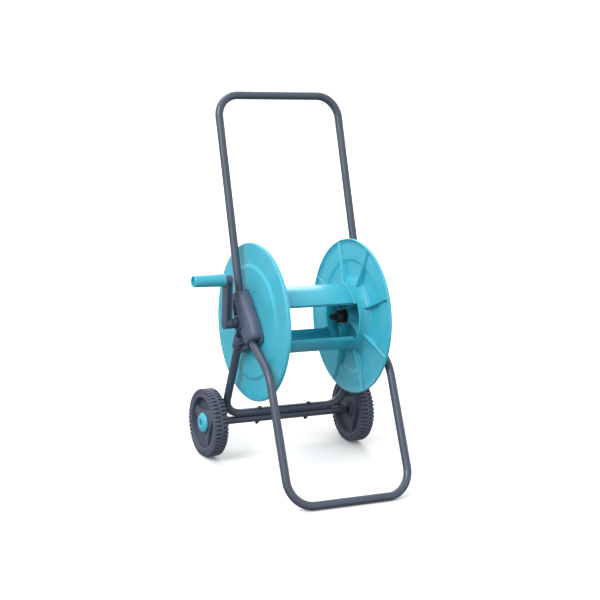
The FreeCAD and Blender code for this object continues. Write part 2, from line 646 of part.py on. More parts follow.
def flange_left():
    """The crank side: the boss has a square socket for the crank's drive."""
    body = flange("flange_left", -1, "5")
    drive = body.newObject("PartDesign::SubtractiveBox", "drive_socket")
    side = "(Sheet.drive_side + Sheet.drive_play)"
    bind(drive, Length=DISC_OUT + " - Sheet.boss_in + 2", Width=side, Height=side)
    place(drive, "-" + DISC_OUT + " - 1", "-%s / 2" % side, "-%s / 2" % side)
    keep(body, "flange_left")


def flange_right():
    """The water side: the boss is bored for the spindle and drilled for its screws."""
    body = flange("flange_right", 1, JOURNAL_R + " + 0.1")
    hole = bar(body, "Subtractive", "1.7", "Sheet.boss_in - 1", "14", "0", "13.5")
    polar(body, hole, "3")
    keep(body, "flange_right")


def core_panel(label, half_turn):
    """A curved panel of the drum core with stiffening lips and two snap tabs at each end."""
    body = new_body(label)
    outer = "Sheet.core_dia / 2"
    shell = sector(new_sketch(body, "YZ_Plane"), outer + " - Sheet.core_wall", outer,
                   "Sheet.core_half_angle")
    pad(body, shell, "Sheet.core_end * 2", midplane=True)
    lip_turn = "(Sheet.core_half_angle - 1.2)"
    for axis, sign, turn in ((FORWARD, "", lip_turn), (BACKWARD, "-", lip_turn),
                             (FORWARD, "", "0.001")):
        lip = body.newObject("PartDesign::AdditiveBox", label + "_lip")
        bind(lip, Length="Sheet.core_end * 2", Width="Sheet.core_wall",
             Height="Sheet.lip_depth")
        low = "(%s - Sheet.lip_depth - 1)" % outer
        half = "(Sheet.core_wall / 2)"
        y = "-%s * cos(%s) - (%s1) * %s * sin(%s)" % (half, turn, sign, low, turn)
        z = "%s * cos(%s) - (%s1) * %s * sin(%s)" % (low, turn, sign, half, turn)
        place(lip, "-Sheet.core_end", y, z, axis, turn)
    tabs = tab_outline(new_sketch(body, "YZ_Plane"), "0")
    pad(body, tabs, "(%s - 0.5) * 2" % DISC_OUT, midplane=True)
    at_reel(body, half_turn)
    keep(body, label)


# ---------------------------------------------------------------- crank

def crank_arm():
    """Arm of I section, hub, bearing journal and square drive in one moulding."""
    body = new_body("crank_arm")
    outlines = (("Sheet.arm_out - Sheet.arm_skin", "Sheet.arm_skin", 1),
                ("Sheet.arm_in", "Sheet.arm_skin", 1),
                ("Sheet.arm_in", "Sheet.arm_out - Sheet.arm_in", 0))
    for start, thick, full in outlines:
        sketch = new_sketch(body, "YZ_Plane", "-(%s) - (%s)" % (start, thick))
        hub = "Sheet.arm_hub_dia / 2" if full else "Sheet.arm_web / 2"
        tip = "Sheet.arm_tip_dia / 2" if full else "Sheet.arm_web / 2"
        polygon(sketch, [("-" + hub, "0"), (hub, "0"), (tip, "Sheet.crank_reach"),
                         ("-" + tip, "Sheet.crank_reach")])
        pad(body, sketch, thick)
    thick = "Sheet.arm_out - Sheet.arm_in"
    bar(body, "Additive", "Sheet.arm_hub_dia / 2", "-Sheet.arm_out", thick)
    bar(body, "Additive", "Sheet.arm_tip_dia / 2", "-Sheet.arm_out", thick,
        "0", "Sheet.crank_reach")
    shoulder = "(Sheet.bracket_out + Sheet.bush_flange + 0.3)"
    bar(body, "Additive", "Sheet.crank_hub_dia / 2", "-Sheet.arm_in",
        "Sheet.arm_in - " + shoulder)
    bar(body, "Additive", JOURNAL_R, "-" + shoulder, "%s - %s - 0.6" % (shoulder, DISC_OUT))
    drive = body.newObject("PartDesign::AdditiveBox", "square_drive")
    bind(drive, Length=DISC_OUT + " + 1 - Sheet.boss_in", Width="Sheet.drive_side",
         Height="Sheet.drive_side")
    place(drive, "-" + DISC_OUT + " - 1", "-Sheet.drive_side / 2", "-Sheet.drive_side / 2")
    bar(body, "Subtractive", "2.5", "-Sheet.boss_in - 22", "24")
    bar(body, "Subtractive", "4", "-Sheet.arm_out - 1", "Sheet.arm_out - Sheet.arm_in + 2",
        "0", "Sheet.crank_reach")
    at_reel(body)
    keep(body, "crank_arm")


def crank_hardware():
    washer = turned("crank_washer", [
        ("Sheet.boss_in", "2.7"), ("Sheet.boss_in", "10"), ("Sheet.boss_in - 1.6", "10"),
        ("Sheet.boss_in - 1.6", "2.7")], -1)
    keep(at_reel(washer), "crank_washer")
    face = "(Sheet.boss_in - 1.6)"
    screw = turned("crank_screw", [
        (face + " - 3.6", "0.01"), (face + " - 3.6", "3.4"), (face + " - 1.8", "4.6"),
        (face, "4.6"), (face, "2.45"), ("Sheet.boss_in + 18", "2.45"),
        ("Sheet.boss_in + 18", "0.01")], -1)
    keep(at_reel(screw), "crank_screw")


def grip_line(obj):
    """Move a piece drawn about the reel axis out to the crank's tip."""
    return place(obj, "Sheet.mid_x",
                 "Sheet.mid_y + Sheet.crank_reach * sin(Sheet.reel_tilt)",
                 "Sheet.axis_z + Sheet.crank_reach * cos(Sheet.reel_tilt)",
                 BACKWARD, "Sheet.reel_tilt")


def grip_pieces():
    """The pin is riveted in the arm; the hollow grip turns on it under the pin's head."""
    pin_r = "(Sheet.pin_dia / 2)"
    bore = "(Sheet.pin_dia / 2 + Sheet.run_play)"
    head = "(Sheet.grip_end - Sheet.grip_recess + 0.4)"
    pin = turned("grip_pin", [
        ("Sheet.arm_in - 1.5", "0.01"), ("Sheet.arm_in - 1.5", "6"), ("Sheet.arm_in", "6"),
        ("Sheet.arm_in", "3.95"), ("Sheet.arm_out", "3.95"), ("Sheet.arm_out", pin_r),
        (head, pin_r), (head, "Sheet.pin_head_dia / 2"),
        (head + " + 2", "Sheet.pin_head_dia / 2"), (head + " + 4", "4"),
        (head + " + 4", "0.01")], -1)
    keep(grip_line(pin), "grip_pin")
    wide = "Sheet.grip_dia / 2"
    grip = turned("crank_grip", [
        ("Sheet.grip_start", bore), ("Sheet.grip_start", wide + " - 1.5"),
        ("Sheet.grip_start + 1.5", wide),
        ("Sheet.grip_end - 1.5", "Sheet.grip_tip_dia / 2"),
        ("Sheet.grip_end", "Sheet.grip_tip_dia / 2 - 1.2"),
        ("Sheet.grip_end", "Sheet.grip_recess_dia / 2"),
        ("Sheet.grip_end - Sheet.grip_recess", "Sheet.grip_recess_dia / 2"),
        ("Sheet.grip_end - Sheet.grip_recess", bore)], -1)
    keep(grip_line(grip), "crank_grip")


# ---------------------------------------------------------------- water passage

def water_spindle():
    """Hollow journal of the water side: thread, screw flange, O-ring and clip grooves."""
    water = "Sheet.water_dia / 2"
    outline = [("Sheet.spindle_in", water), ("Sheet.spindle_in", JOURNAL_R),
               ("Sheet.boss_in - 3", JOURNAL_R), ("Sheet.boss_in - 3", "17.5"),
               ("Sheet.boss_in", "17.5"), ("Sheet.boss_in", JOURNAL_R)]
    grooves = (("Sheet.bracket_out + 1.4", "1.4", "7.6"), ("Sheet.elbow_start + 2.6", "2.4", "7.1"),
               ("Sheet.elbow_start + 6.8", "2.4", "7.1"), ("Sheet.elbow_start + 10.6", "2", "7.6"))
    for start, width, radius in grooves:
        outline += [(start, JOURNAL_R), (start, radius), (start + " + " + width, radius),
                    (start + " + " + width, JOURNAL_R)]
    outline += [("Sheet.spindle_end", JOURNAL_R), ("Sheet.spindle_end", water)]
    body = turned("water_spindle", outline)
    hole = bar(body, "Subtractive", "2.1", "Sheet.boss_in - 4", "5", "0", "13.5")
    polar(body, hole, "3")
    at_reel(body)
    keep(body, "water_spindle")


def spindle_hardware():
    screws = []
    for number in range(3):
        turn = "(%d - Sheet.reel_tilt)" % (120 * number)
        face = "(Sheet.boss_in - 3)"
        screw = turned("spindle_screw_%d" % number, [
            (face + " - 2.4", "0.01"), (face + " - 2.4", "2.4"), (face + " - 1.4", "3.4"),
            (face, "3.4"), (face, "1.65"), (face + " + 14", "1.65"), (face + " + 14", "0.01")])
        place(screw, "Sheet.mid_x", "Sheet.mid_y - 13.5 * sin(%s)" % turn,
              "Sheet.axis_z + 13.5 * cos(%s)" % turn)
        screws.append(screw)
    compound("spindle_screws", screws)
    rings = []
    for number, start in enumerate(("3.8", "8")):
        ring = new_body("spindle_o_ring_%d" % number)
        sketch = new_sketch(ring, "XY_Plane")
        circle(sketch, "Sheet.elbow_start + " + start, JOURNAL_R + " - 0.95", "0.95")
        revolve(ring, sketch)
        rings.append(at_reel(ring))
    compound("spindle_o_rings", rings)
    clip = new_body("spindle_clip")
    sketch = new_sketch(clip, "YZ_Plane", "Sheet.bracket_out + 1.5")
    circle(sketch, "0", "0", "12")
    circle(sketch, "0", "0", "7.65")
    pad(clip, sketch, "1.2")
    mouth = clip.newObject("PartDesign::SubtractiveBox", "clip_mouth")
    bind(mouth, Length="4", Width="12", Height="14")
    place(mouth, "Sheet.bracket_out", "-6", "0")
    keep(at_reel(clip), "spindle_clip")
    for label, side in (("thrust_washer_left", -1), ("thrust_washer_right", 1)):
        washer = turned(label, [
            (DISC_OUT, JOURNAL_R + " + 0.15"), (DISC_OUT, "Sheet.washer_dia / 2"),
            ("Sheet.cover_in - 0.3", "Sheet.washer_dia / 2"),
            ("Sheet.cover_in - 0.3", JOURNAL_R + " + 0.15")], side)
        keep(at_reel(washer), label)


def hose_tail():
    """Connector inside the drum: union nut, nipple for the hose's inner end and its seal."""
    water = "Sheet.water_dia / 2"
    face = "Sheet.spindle_in"
    seal = turned("tail_seal", [(face, water), (face, "8.6"), (face + " - 1.5", "8.6"),
                                (face + " - 1.5", water)])
    keep(at_reel(seal), "tail_seal")
    nut = new_body("tail_nut")
    sketch = new_sketch(nut, "YZ_Plane", face + " - 5.5")
    polygon(sketch, [("Sheet.nut_dia / 2 * cos(%d)" % turn, "Sheet.nut_dia / 2 * sin(%d)" % turn)
                     for turn in range(0, 360, 30)])
    circle(sketch, "0", "0", "Sheet.journal_dia / 2 + 0.02")
    pad(nut, sketch, "Sheet.boss_in - 5.8 - " + face + " + 5.5")
    lip = new_sketch(nut, "YZ_Plane", face + " - 5.5")
    circle(lip, "0", "0", "Sheet.journal_dia / 2 + 1")
    circle(lip, "0", "0", "7.55")
    pad(nut, lip, "2")
    keep(at_reel(nut), "tail_nut")
    nipple = turned("tail_nipple", [
        (face + " - 1.5", water + " - 1"), (face + " - 1.5", "8.7"), (face + " - 3.5", "8.7"),
        (face + " - 3.5", "6.9"), (face + " - 5.6", "6.9"), (face + " - 5.6", "7.5"),
        ("Sheet.tail_end + 8", "7.5"), ("Sheet.tail_end + 7", "5.6"),
        ("Sheet.tail_end + 4.6", "5.6"), ("Sheet.tail_end + 4", "7"),
        ("Sheet.tail_end + 1", "7"), ("Sheet.tail_end", "6"),
        ("Sheet.tail_end", water + " - 1")])
    keep(at_reel(nipple), "tail_nipple")


def inlet_pieces():
    """Elbow that swivels on the spindle's outer end, its clip and the hose nipple."""
    water = "Sheet.water_dia / 2"
    outer = "Sheet.elbow_dia / 2"
    elbow = turned("inlet_elbow", [
        ("Sheet.elbow_start", RUN_R), ("Sheet.elbow_start", outer + " - 1"),
        ("Sheet.elbow_start + 1", outer), ("Sheet.elbow_end - 3", outer),
        ("Sheet.elbow_end", outer + " - 3"),
        ("Sheet.elbow_end", "0.01"), ("Sheet.elbow_end - 5", "0.01"),
        ("Sheet.elbow_end - 5", water), ("Sheet.spindle_end + 0.6", water),
        ("Sheet.spindle_end + 0.6", RUN_R)])
    for kind, radius, drop, length in (
            ("Additive", "Sheet.branch_dia / 2", "Sheet.branch_reach",
             "Sheet.branch_reach - Sheet.journal_dia / 2 - 0.1"),
            ("Subtractive", "7", "Sheet.branch_reach + 1", "12")):
        branch = elbow.newObject("PartDesign::%sCylinder" % kind, "inlet_branch")
        bind(branch, Radius=radius, Height=length)
        place(branch, "Sheet.branch_x", "0", "-(%s)" % drop)
    passage = elbow.newObject("PartDesign::SubtractiveCylinder", "inlet_passage")
    bind(passage, Radius=water, Height="Sheet.branch_reach")
    place(passage, "Sheet.branch_x", "0", "-Sheet.branch_reach")
    for side in ("-10.4", "7.7"):
        slot = elbow.newObject("PartDesign::SubtractiveBox", "clip_slot")
        bind(slot, Length="1.9", Width="2.7", Height="26")
        place(slot, "Sheet.elbow_start + 10.65", side, "-11")
    keep(at_reel_axis(elbow), "inlet_elbow")
    clip = new_body("inlet_clip")
    sketch = new_sketch(clip, "YZ_Plane", "Sheet.elbow_start + 10.9")
    polygon(sketch, [("-10.2", "-10.8"), ("-7.9", "-10.8"), ("-7.9", "14"), ("7.9", "14"),
                     ("7.9", "-10.8"), ("10.2", "-10.8"), ("10.2", "16.4"), ("-10.2", "16.4")])
    pad(clip, sketch, "1.4")
    keep(at_reel_axis(clip), "inlet_clip")
    low = "-Sheet.branch_reach"
    stem = "Sheet.stem_dia / 2"
    nipple = turned("inlet_nipple", [
        (low + " + 10", water), (low + " + 10", "6.9"), (low, "6.9"), (low, "11"),
        (low + " - 5", "11"), (low + " - 5", stem), (low + " - 17", stem),
        (low + " - 18", "6.3"), (low + " - 20.4", "6.3"), (low + " - 21.4", "7.3"),
        (low + " - 25", "7.3"), (low + " - 26", "6.3"), (low + " - 26", water)], about="Z")
    place(nipple, "Sheet.mid_x + Sheet.branch_x", "Sheet.mid_y", "Sheet.axis_z")
    keep(nipple, "inlet_nipple")


# ---------------------------------------------------------------- side brackets

HANDLE_LEAN = "(Sheet.handle_lean - Sheet.column_lean)"
STAND_LEAN = "(Sheet.stand_top_lean - Sheet.column_lean)"
REAR_LEAN = "(-Sheet.rear_lean - Sheet.column_lean)"
SCREWS = (   # distance along the tube's line, line ahead of the axis, lean
    ("Sheet.handle_start + 14", "Sheet.handle_ahead", HANDLE_LEAN),
    ("-Sheet.stand_start - 14", "-Sheet.stand_below", STAND_LEAN),
    ("-Sheet.rear_start - 14", "Sheet.rear_ahead", REAR_LEAN),
    ("32", "33", "0"),
    ("-36", "33", "0"),
)


def spot(along, ahead, lean):
    """The (y, z) expressions of a point on a leaning line."""
    return ("(%s) * sin(%s) - (%s) * cos(%s)" % (along, lean, ahead, lean),
            "(%s) * cos(%s) + (%s) * sin(%s)" % (along, lean, ahead, lean))


def column(body):
    """The smooth front column: a box section with its outer front corner widely rounded."""
    sketch = new_sketch(body, "XY_Plane", "-Sheet.column_low")
    centre = Vector(143, -23, 0)
    corners = [Vector(163, -23, 0), Vector(163, -14, 0), Vector(137, -14, 0),
               Vector(137, -43, 0), Vector(143, -43, 0)]
    for first, second in zip(corners, corners[1:]):
        sketch.addGeometry(Part.LineSegment(first, second))
    sketch.addGeometry(Part.ArcOfCircle(Part.Circle(centre, Vector(0, 0, 1), 20),
                                        -math.pi / 2, 0))
    add = sketch.addConstraint
    for line in range(3):
        add(Sketcher.Constraint("Coincident", line, 2, line + 1, 1))
    for line, kind in enumerate(("Vertical", "Horizontal", "Vertical", "Horizontal")):
        add(Sketcher.Constraint(kind, line))
    add(Sketcher.Constraint("Tangent", 3, 2, 4, 1))
    add(Sketcher.Constraint("Tangent", 4, 2, 0, 1))
    hold_point(sketch, 0, 2, "Sheet.bracket_out", "-Sheet.column_back")
    hold_point(sketch, 2, 2, "Sheet.bracket_in", "-Sheet.column_front")
    hold(sketch, "Radius", 4, "Sheet.column_round")
    return pad(body, sketch, "Sheet.column_low + Sheet.column_high")


def web_outline():
    """Web corners between the column, the bearing and the rear leg's socket."""
    back = spot("-Sheet.socket_reach", "Sheet.rear_ahead - 9", REAR_LEAN)
    front = spot("-Sheet.socket_reach", "Sheet.rear_ahead + 9", REAR_LEAN)
    return [("-Sheet.column_back - 1", "Sheet.column_high - 6"),
            ("4", "Sheet.column_high - 18"),
            ("Sheet.bearing_dia / 2 + 2", "Sheet.bearing_dia / 2 + 3"),
            ("Sheet.bearing_dia / 2 + 3", "2"), back, front,
            ("3", "-Sheet.column_low - 3"), ("-Sheet.column_back - 1", "-Sheet.column_low")]


def lean_feature(body, kind, x, along, ahead, lean, axis, angle, **cells):
    feature = body.newObject("PartDesign::" + kind, body.Name + "_feature")
    bind(feature, **cells)
    y, z = spot(along, ahead, lean)
    return place(feature, x, y, z, axis, angle)


def side_bracket():
    """Three tube sockets and the drum's bearing in one moulding."""
    body = new_body("side_bracket_right")
    column(body)
    web = polygon(new_sketch(body, "YZ_Plane", "Sheet.web_in"), web_outline())
    pad(body, web, "Sheet.web_wall")
    bar(body, "Additive", "Sheet.bearing_dia / 2", "Sheet.bracket_in",
        "Sheet.bracket_out - Sheet.bracket_in")
    sockets(body)
    leg_end = spot("-Sheet.socket_reach + 4", "Sheet.rear_ahead", REAR_LEAN)
    column_top = ("-Sheet.column_back - 4", "Sheet.column_high - 10")
    column_foot = ("-Sheet.column_back - 1", "-Sheet.column_low + 4")
    hub = ("0", "0")
    rib(body, leg_end, hub)
    rib(body, hub, column_top)
    rib(body, column_foot, hub)
    rib(body, column_foot, leg_end)
    cavity = body.newObject("PartDesign::SubtractiveBox", "column_cavity")
    bind(cavity, Length="Sheet.cavity_depth",
         Width="Sheet.column_front - Sheet.bearing_dia / 2 - 2 * Sheet.cavity_wall + 1",
         Height="Sheet.column_low - 4")
    place(cavity, "Sheet.bracket_in", "Sheet.cavity_wall - Sheet.column_front",
          "-Sheet.column_low / 2")
    bar(body, "Subtractive", "Sheet.bush_dia / 2 + 0.05", "Sheet.bracket_in - 1", "40")
    tube_bores(body)
    for along, ahead, lean in SCREWS:
        y, z = spot(along, ahead, lean)
        bar(body, "Subtractive", "Sheet.screw_dia / 2 + 0.03", "Sheet.bracket_in - 1",
            "Sheet.screw_len - 2", y, z)
    at_reel_axis(body, BACKWARD, "Sheet.column_lean")
    keep(body, "side_bracket_right")
    mirrored("side_bracket_left", body)


def sockets(body):
    """Round sockets that carry the three tubes beyond the column."""
    runs = (("Sheet.handle_half", "30", "Sheet.handle_socket", "Sheet.handle_ahead",
             HANDLE_LEAN, FORWARD, "Sheet.column_lean - Sheet.handle_lean"),
            ("Sheet.handle_half", "-60", "Sheet.stand_socket", "-Sheet.stand_below",
             STAND_LEAN, BACKWARD, "Sheet.stand_top_lean - Sheet.column_lean"),
            ("Sheet.rear_half", "-Sheet.socket_reach", "Sheet.leg_socket",
             "Sheet.rear_ahead", REAR_LEAN, FORWARD, "Sheet.rear_lean + Sheet.column_lean"))
    for x, start, length, ahead, lean, axis, angle in runs:
        lean_feature(body, "AdditiveCylinder", x, start, ahead, lean, axis, angle,
                     Radius="Sheet.socket_dia / 2", Height=length)


def rib(body, start, end):
    """A stiffening rib between two (y, z) spots, drawn upwards from start."""
    run = "((%s) - (%s))" % (end[0], start[0])
    rise = "((%s) - (%s))" % (end[1], start[1])
    back = float(sheet.evalExpression(run)) > 0
    angle = "atan2(%s%s; %s)" % ("" if back else "-", run, rise)
    feature = body.newObject("PartDesign::AdditiveBox", "rib")
    bind(feature, Length="Sheet.rib_out - Sheet.bracket_in - 1", Width="Sheet.rib_thick",
         Height="sqrt(%s ^ 2 + %s ^ 2)" % (run, rise))
    place(feature, "Sheet.bracket_in + 1", start[0], start[1],
          BACKWARD if back else FORWARD, angle)


def tube_bores(body):
    """Sockets for the handle, the stand and the rear leg, each a little over tube size."""
    bores = (("Sheet.handle_half", "Sheet.handle_start - 0.5", "Sheet.handle_ahead",
              HANDLE_LEAN, FORWARD, "Sheet.column_lean - Sheet.handle_lean"),
             ("Sheet.rear_half", "-Sheet.rear_start + 0.5 - Sheet.bore_depth", "Sheet.rear_ahead",
              REAR_LEAN, FORWARD, "Sheet.rear_lean + Sheet.column_lean"),
             ("Sheet.stand_half", "-Sheet.stand_start + 0.5 - Sheet.bore_depth",
              "-Sheet.stand_below", STAND_LEAN, BACKWARD,
              "Sheet.stand_top_lean - Sheet.column_lean"))
    for x, along, ahead, lean, axis, angle in bores:
        lean_feature(body, "SubtractiveCylinder", x, along, ahead, lean, axis, angle,
                     Radius=BORE_R, Height="Sheet.bore_depth")


def bracket_cover():
    """Flat cover that closes the bracket's inner side."""
    body = new_body("bracket_cover_right")
    sketch = new_sketch(body, "YZ_Plane", "Sheet.cover_in")
    outline = web_outline()
    front = [("-Sheet.column_front + 3", "-Sheet.column_low - 11"),
             ("-Sheet.column_front + 1", "-Sheet.column_low + 4"),
             ("-Sheet.column_front + 1", "Sheet.column_high - 4"),
             ("-Sheet.column_front + 5", "Sheet.column_high - 1")]
    outline[6] = ("-4", "-Sheet.column_low - 9")
    polygon(sketch, [("-Sheet.column_back - 1", "Sheet.column_high - 1")] + outline[1:7] + front)
    pad(body, sketch, "Sheet.bracket_in - Sheet.cover_in")
    bar(body, "Subtractive", "Sheet.bush_dia / 2 + 0.1", "Sheet.cover_in - 1", "8")
    for along, ahead, lean in SCREWS:
        y, z = spot(along, ahead, lean)
        bar(body, "Subtractive", "Sheet.screw_dia / 2 + 0.1", "Sheet.cover_in - 1", "8", y, z)
        sink = body.newObject("PartDesign::SubtractiveCone", "countersink")
        bind(sink, Radius1="Sheet.screw_head_dia / 2 + 0.1", Radius2="Sheet.screw_dia / 2 + 0.1",
             Height="Sheet.sink_depth + 0.1")
        place(sink, "Sheet.cover_in", y, z, (0, 1, 0), "90")
    at_reel_axis(body, BACKWARD, "Sheet.column_lean")
    keep(body, "bracket_cover_right")
    mirrored("bracket_cover_left", body)


def bracket_screws():
    screws = []
    for number, (along, ahead, lean) in enumerate(SCREWS):
        face = "Sheet.cover_in"
        screw = turned("bracket_screw_%d" % number, [
            (face + " + 0.1", "0.01"), (face + " + 0.1", "Sheet.screw_head_dia / 2"),
            (face + " + Sheet.sink_depth + 0.1", "Sheet.screw_dia / 2"),
            (face + " + Sheet.screw_len - 1.5", "Sheet.screw_dia / 2"),
            (face + " + Sheet.screw_len", "0.8"), (face + " + Sheet.screw_len", "0.01")])
        tilt = "(%s + Sheet.column_lean)" % lean
        y, z = spot(along, ahead, tilt)
        if lean == "0":
            y, z = spot(along, ahead, "Sheet.column_lean")
        place(screw, "Sheet.mid_x", "Sheet.mid_y + " + y, "Sheet.axis_z + " + z)
        screws.append(screw)
    right = compound("bracket_screws_right", screws)
    mirrored("bracket_screws_left", right)


def bearing_bushes():
    for label, side in (("left", -1), ("right", 1)):
        bush = turned("bearing_bush_" + label, [
            ("Sheet.cover_in + 0.4", RUN_R), ("Sheet.cover_in + 0.4", "Sheet.bush_dia / 2"),
            ("Sheet.bracket_out", "Sheet.bush_dia / 2"),
            ("Sheet.bracket_out", "Sheet.bush_flange_dia / 2"),
            ("Sheet.bracket_out + Sheet.bush_flange", "Sheet.bush_flange_dia / 2"),
            ("Sheet.bracket_out + Sheet.bush_flange", RUN_R)], side)
        keep(at_reel_axis(bush), "bearing_bush_" + label)


# ---------------------------------------------------------------- build and export

def build():
    handle_tube()
    stand_tube()
    rear_frame_tube()
    axle_tube()
    axle_fasteners()
    wheel("wheel_left", -1)
    wheel("wheel_right", 1)
    wheel_hardware()
    side_bracket()
    bracket_cover()
    bracket_screws()
    bearing_bushes()
    flange_left()
    flange_right()
    core_panel("core_panel_upper", False)
    core_panel("core_panel_lower", True)
    crank_arm()
    crank_hardware()
    grip_pieces()
    water_spindle()
    spindle_hardware()
    hose_tail()
    inlet_pieces()


def check_and_export():
    doc.recompute()
    for obj in doc.Objects:
        if "Invalid" in obj.State or "Error" in obj.State:
            raise RuntimeError("%s failed: %s" % (obj.Label, obj.State))
    for label, obj in NODES.items():
        if obj.Shape.isNull() or not obj.Shape.isValid() or not obj.Shape.Solids:
            raise RuntimeError(label + " has no valid shape")
    os.makedirs("parts", exist_ok=True)
    for label, obj in NODES.items():
        obj.Shape.exportStep("parts/%s.step" % label)
    print(len(NODES), "nodes")


build()
check_and_export()
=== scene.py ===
"""Looks of the garden hose reel cart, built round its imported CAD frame.

Pieces are drawn in millimetres in a few local frames and carried to the row frame in metres:
the cart frame (origin under the reel axis), the reel, bracket and wheel frames. "Side" is -1 for
the crank side and 1 for the water side. In an outline a point is (a, b) or (a, b, corner radius).
"""

import json
import math

import bmesh
import bpy
from mathutils import Matrix, Vector


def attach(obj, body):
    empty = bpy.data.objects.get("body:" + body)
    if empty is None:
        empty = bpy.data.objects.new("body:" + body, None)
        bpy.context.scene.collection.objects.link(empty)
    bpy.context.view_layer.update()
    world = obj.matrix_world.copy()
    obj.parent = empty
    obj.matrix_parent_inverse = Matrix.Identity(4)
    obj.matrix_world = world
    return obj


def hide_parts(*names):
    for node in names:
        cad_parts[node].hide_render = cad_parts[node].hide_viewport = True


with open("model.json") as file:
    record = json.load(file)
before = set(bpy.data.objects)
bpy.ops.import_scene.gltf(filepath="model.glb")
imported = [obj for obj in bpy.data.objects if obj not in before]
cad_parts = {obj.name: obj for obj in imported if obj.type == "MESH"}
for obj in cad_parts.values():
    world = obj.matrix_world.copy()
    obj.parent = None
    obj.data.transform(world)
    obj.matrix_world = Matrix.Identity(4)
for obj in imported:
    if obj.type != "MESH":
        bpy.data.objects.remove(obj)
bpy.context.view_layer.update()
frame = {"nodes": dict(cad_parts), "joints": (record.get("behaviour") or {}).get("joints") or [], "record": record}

PIVOT = {joint["name"]: Vector(joint["pos_m"]) for joint in frame["joints"]}
REEL = PIVOT["reel_spin"]
WHEEL = PIVOT["wheel_left_spin"]
GRIP = PIVOT["grip_spin"]
LEFT, RIGHT = -1, 1
SIDES = ((LEFT, "left"), (RIGHT, "right"))
MM = Matrix.Scale(0.001, 4)


def leaning(degrees, origin):
    """A frame whose Z axis leans back, towards +Y, by this angle."""
    return Matrix.Translation(origin) @ Matrix.Rotation(-math.radians(degrees), 4, "X") @ MM


# Each tube's line in the side view: how far it passes ahead of the reel axis, and its lean back
# in degrees. Below its knees the stand leans by STAND_DROP.
HANDLE_LINE = (6.1, 25.5)
STAND_LINE = (-4.1, 65.6)
REAR_LINE = (4.1, -13.2)
STAND_DROP = 30.8
BRACKET_LEAN = 42

CART = leaning(0, Vector((REEL.x, REEL.y, 0)))
AXIS = leaning(0, REEL)
DRUM = leaning(math.degrees(math.atan2(GRIP.y - REEL.y, GRIP.z - REEL.z)), REEL)
BRACKET = leaning(BRACKET_LEAN, REEL)
HUB = leaning(0, WHEEL)
GRIP_LINE = leaning(0, GRIP)
REAR = leaning(REAR_LINE[1], REEL)

AXIS_HIGH = REEL.z * 1000
# the tubes' radius, the radius of the bores they fit, and the cross tube's place on its line
TUBE = 9.0
BORE = 9.1
CROSS_TUBE = -235.8
# from the mid-plane to the legs of the handle and rear frame, to the stand's, and to the bolts
HALF_WIDTH, STAND_HALF, BOLT_X = 150, 147.5, 62.5


# ---------------------------------------------------------------- outlines and meshes

def rounded(points, steps=5):
    """The closed outline through 2-D points, rounded at each point that has a third number."""
    count = len(points)
    outline = []
    for i, point in enumerate(points):
        here = Vector(point[:2])
        if len(point) < 3:
            outline.append(here)
            continue
        to_last = Vector(points[i - 1][:2]) - here
        to_next = Vector(points[(i + 1) % count][:2]) - here
        outline += fillet(here, to_last, to_next, point[2], steps)
    return outline


def fillet(corner, to_last, to_next, radius, steps):
    """Points of the arc that rounds a corner, in 2-D or 3-D."""
    half = to_last.angle(to_next) / 2
    reach = min(radius / math.tan(half), 0.49 * min(to_last.length, to_next.length))
    start = corner + to_last.normalized() * reach
    end = corner + to_next.normalized() * reach
    middle = (start + end) / 2
    centre = corner + (middle - corner).normalized() * (reach / math.cos(half))
    a, b = start - centre, end - centre
    turn = a.angle(b)
    return [centre + (a * math.sin(turn * (1 - k / steps)) + b * math.sin(turn * k / steps))
            / math.sin(turn) for k in range(steps + 1)]


def arc(radius, start, end, steps, centre=(0, 0)):
    """Points on a circle from one angle to another, in degrees from the second axis."""
    turns = [math.radians(start + (end - start) * k / steps) for k in range(steps + 1)]
    return [(centre[0] + radius * math.sin(t), centre[1] + radius * math.cos(t)) for t in turns]


def bridge(bm, ring, following):
    """Faces between two rings of vertices; a ring of one vertex is a pole."""
    count = max(len(ring), len(following))
    for k in range(count):
        n = (k + 1) % count
        corners = [ring[k % len(ring)], ring[n % len(ring)],
                   following[n % len(following)], following[k % len(following)]]
        bm.faces.new(list(dict.fromkeys(corners)))


def lathe(bm, outline, side=RIGHT, turns=96, centre=(0, 0)):
    """Turn a closed outline of (distance, radius) points about an axis parallel to X."""
    rings = []
    for along, radius in outline:
        count = 1 if radius < 1e-6 else turns
        rings.append([bm.verts.new((side * along,
                                    centre[0] + radius * math.sin(math.tau * k / count),
                                    centre[1] + radius * math.cos(math.tau * k / count)))
                      for k in range(count)])
    for ring, following in zip(rings, rings[1:] + rings[:1]):
        if len(ring) + len(following) > 2:
            bridge(bm, ring, following)


def loft(bm, sections):
    """A closed solid through equal sections, each a list of 3-D points."""
    rings = [[bm.verts.new(point) for point in section] for section in sections]
    for ring, following in zip(rings, rings[1:]):
        bridge(bm, ring, following)
    bm.faces.new(rings[0][::-1])
    bm.faces.new(rings[-1])


def inset(outline, amount):
    """A closed 2-D outline pulled inwards by an amount."""
    following = outline[1:] + outline[:1]
    area = sum(a[0] * b[1] - a[1] * b[0] for a, b in zip(outline, following))
    pulled = []
    for last, here, after in zip(outline[-1:] + outline[:-1], outline, following):
        into, out = (here - last).normalized(), (after - here).normalized()
        normal = Vector((-into.y - out.y, into.x + out.x)).normalized()
        pulled.append(here + normal * math.copysign(amount, area))
    return pulled


def plate(bm, outline, low, high, edge=0.6, side=RIGHT):
    """A plate across X between two distances, from a (y, z) outline, with eased edges."""
    steps = ((low, edge), (low + edge * 0.3, edge * 0.3), (low + edge, 0),
             (high - edge, 0), (high - edge * 0.3, edge * 0.3), (high, edge))
    loft(bm, [[(side * along, *point) for point in inset(outline, depth)]
              for along, depth in steps])


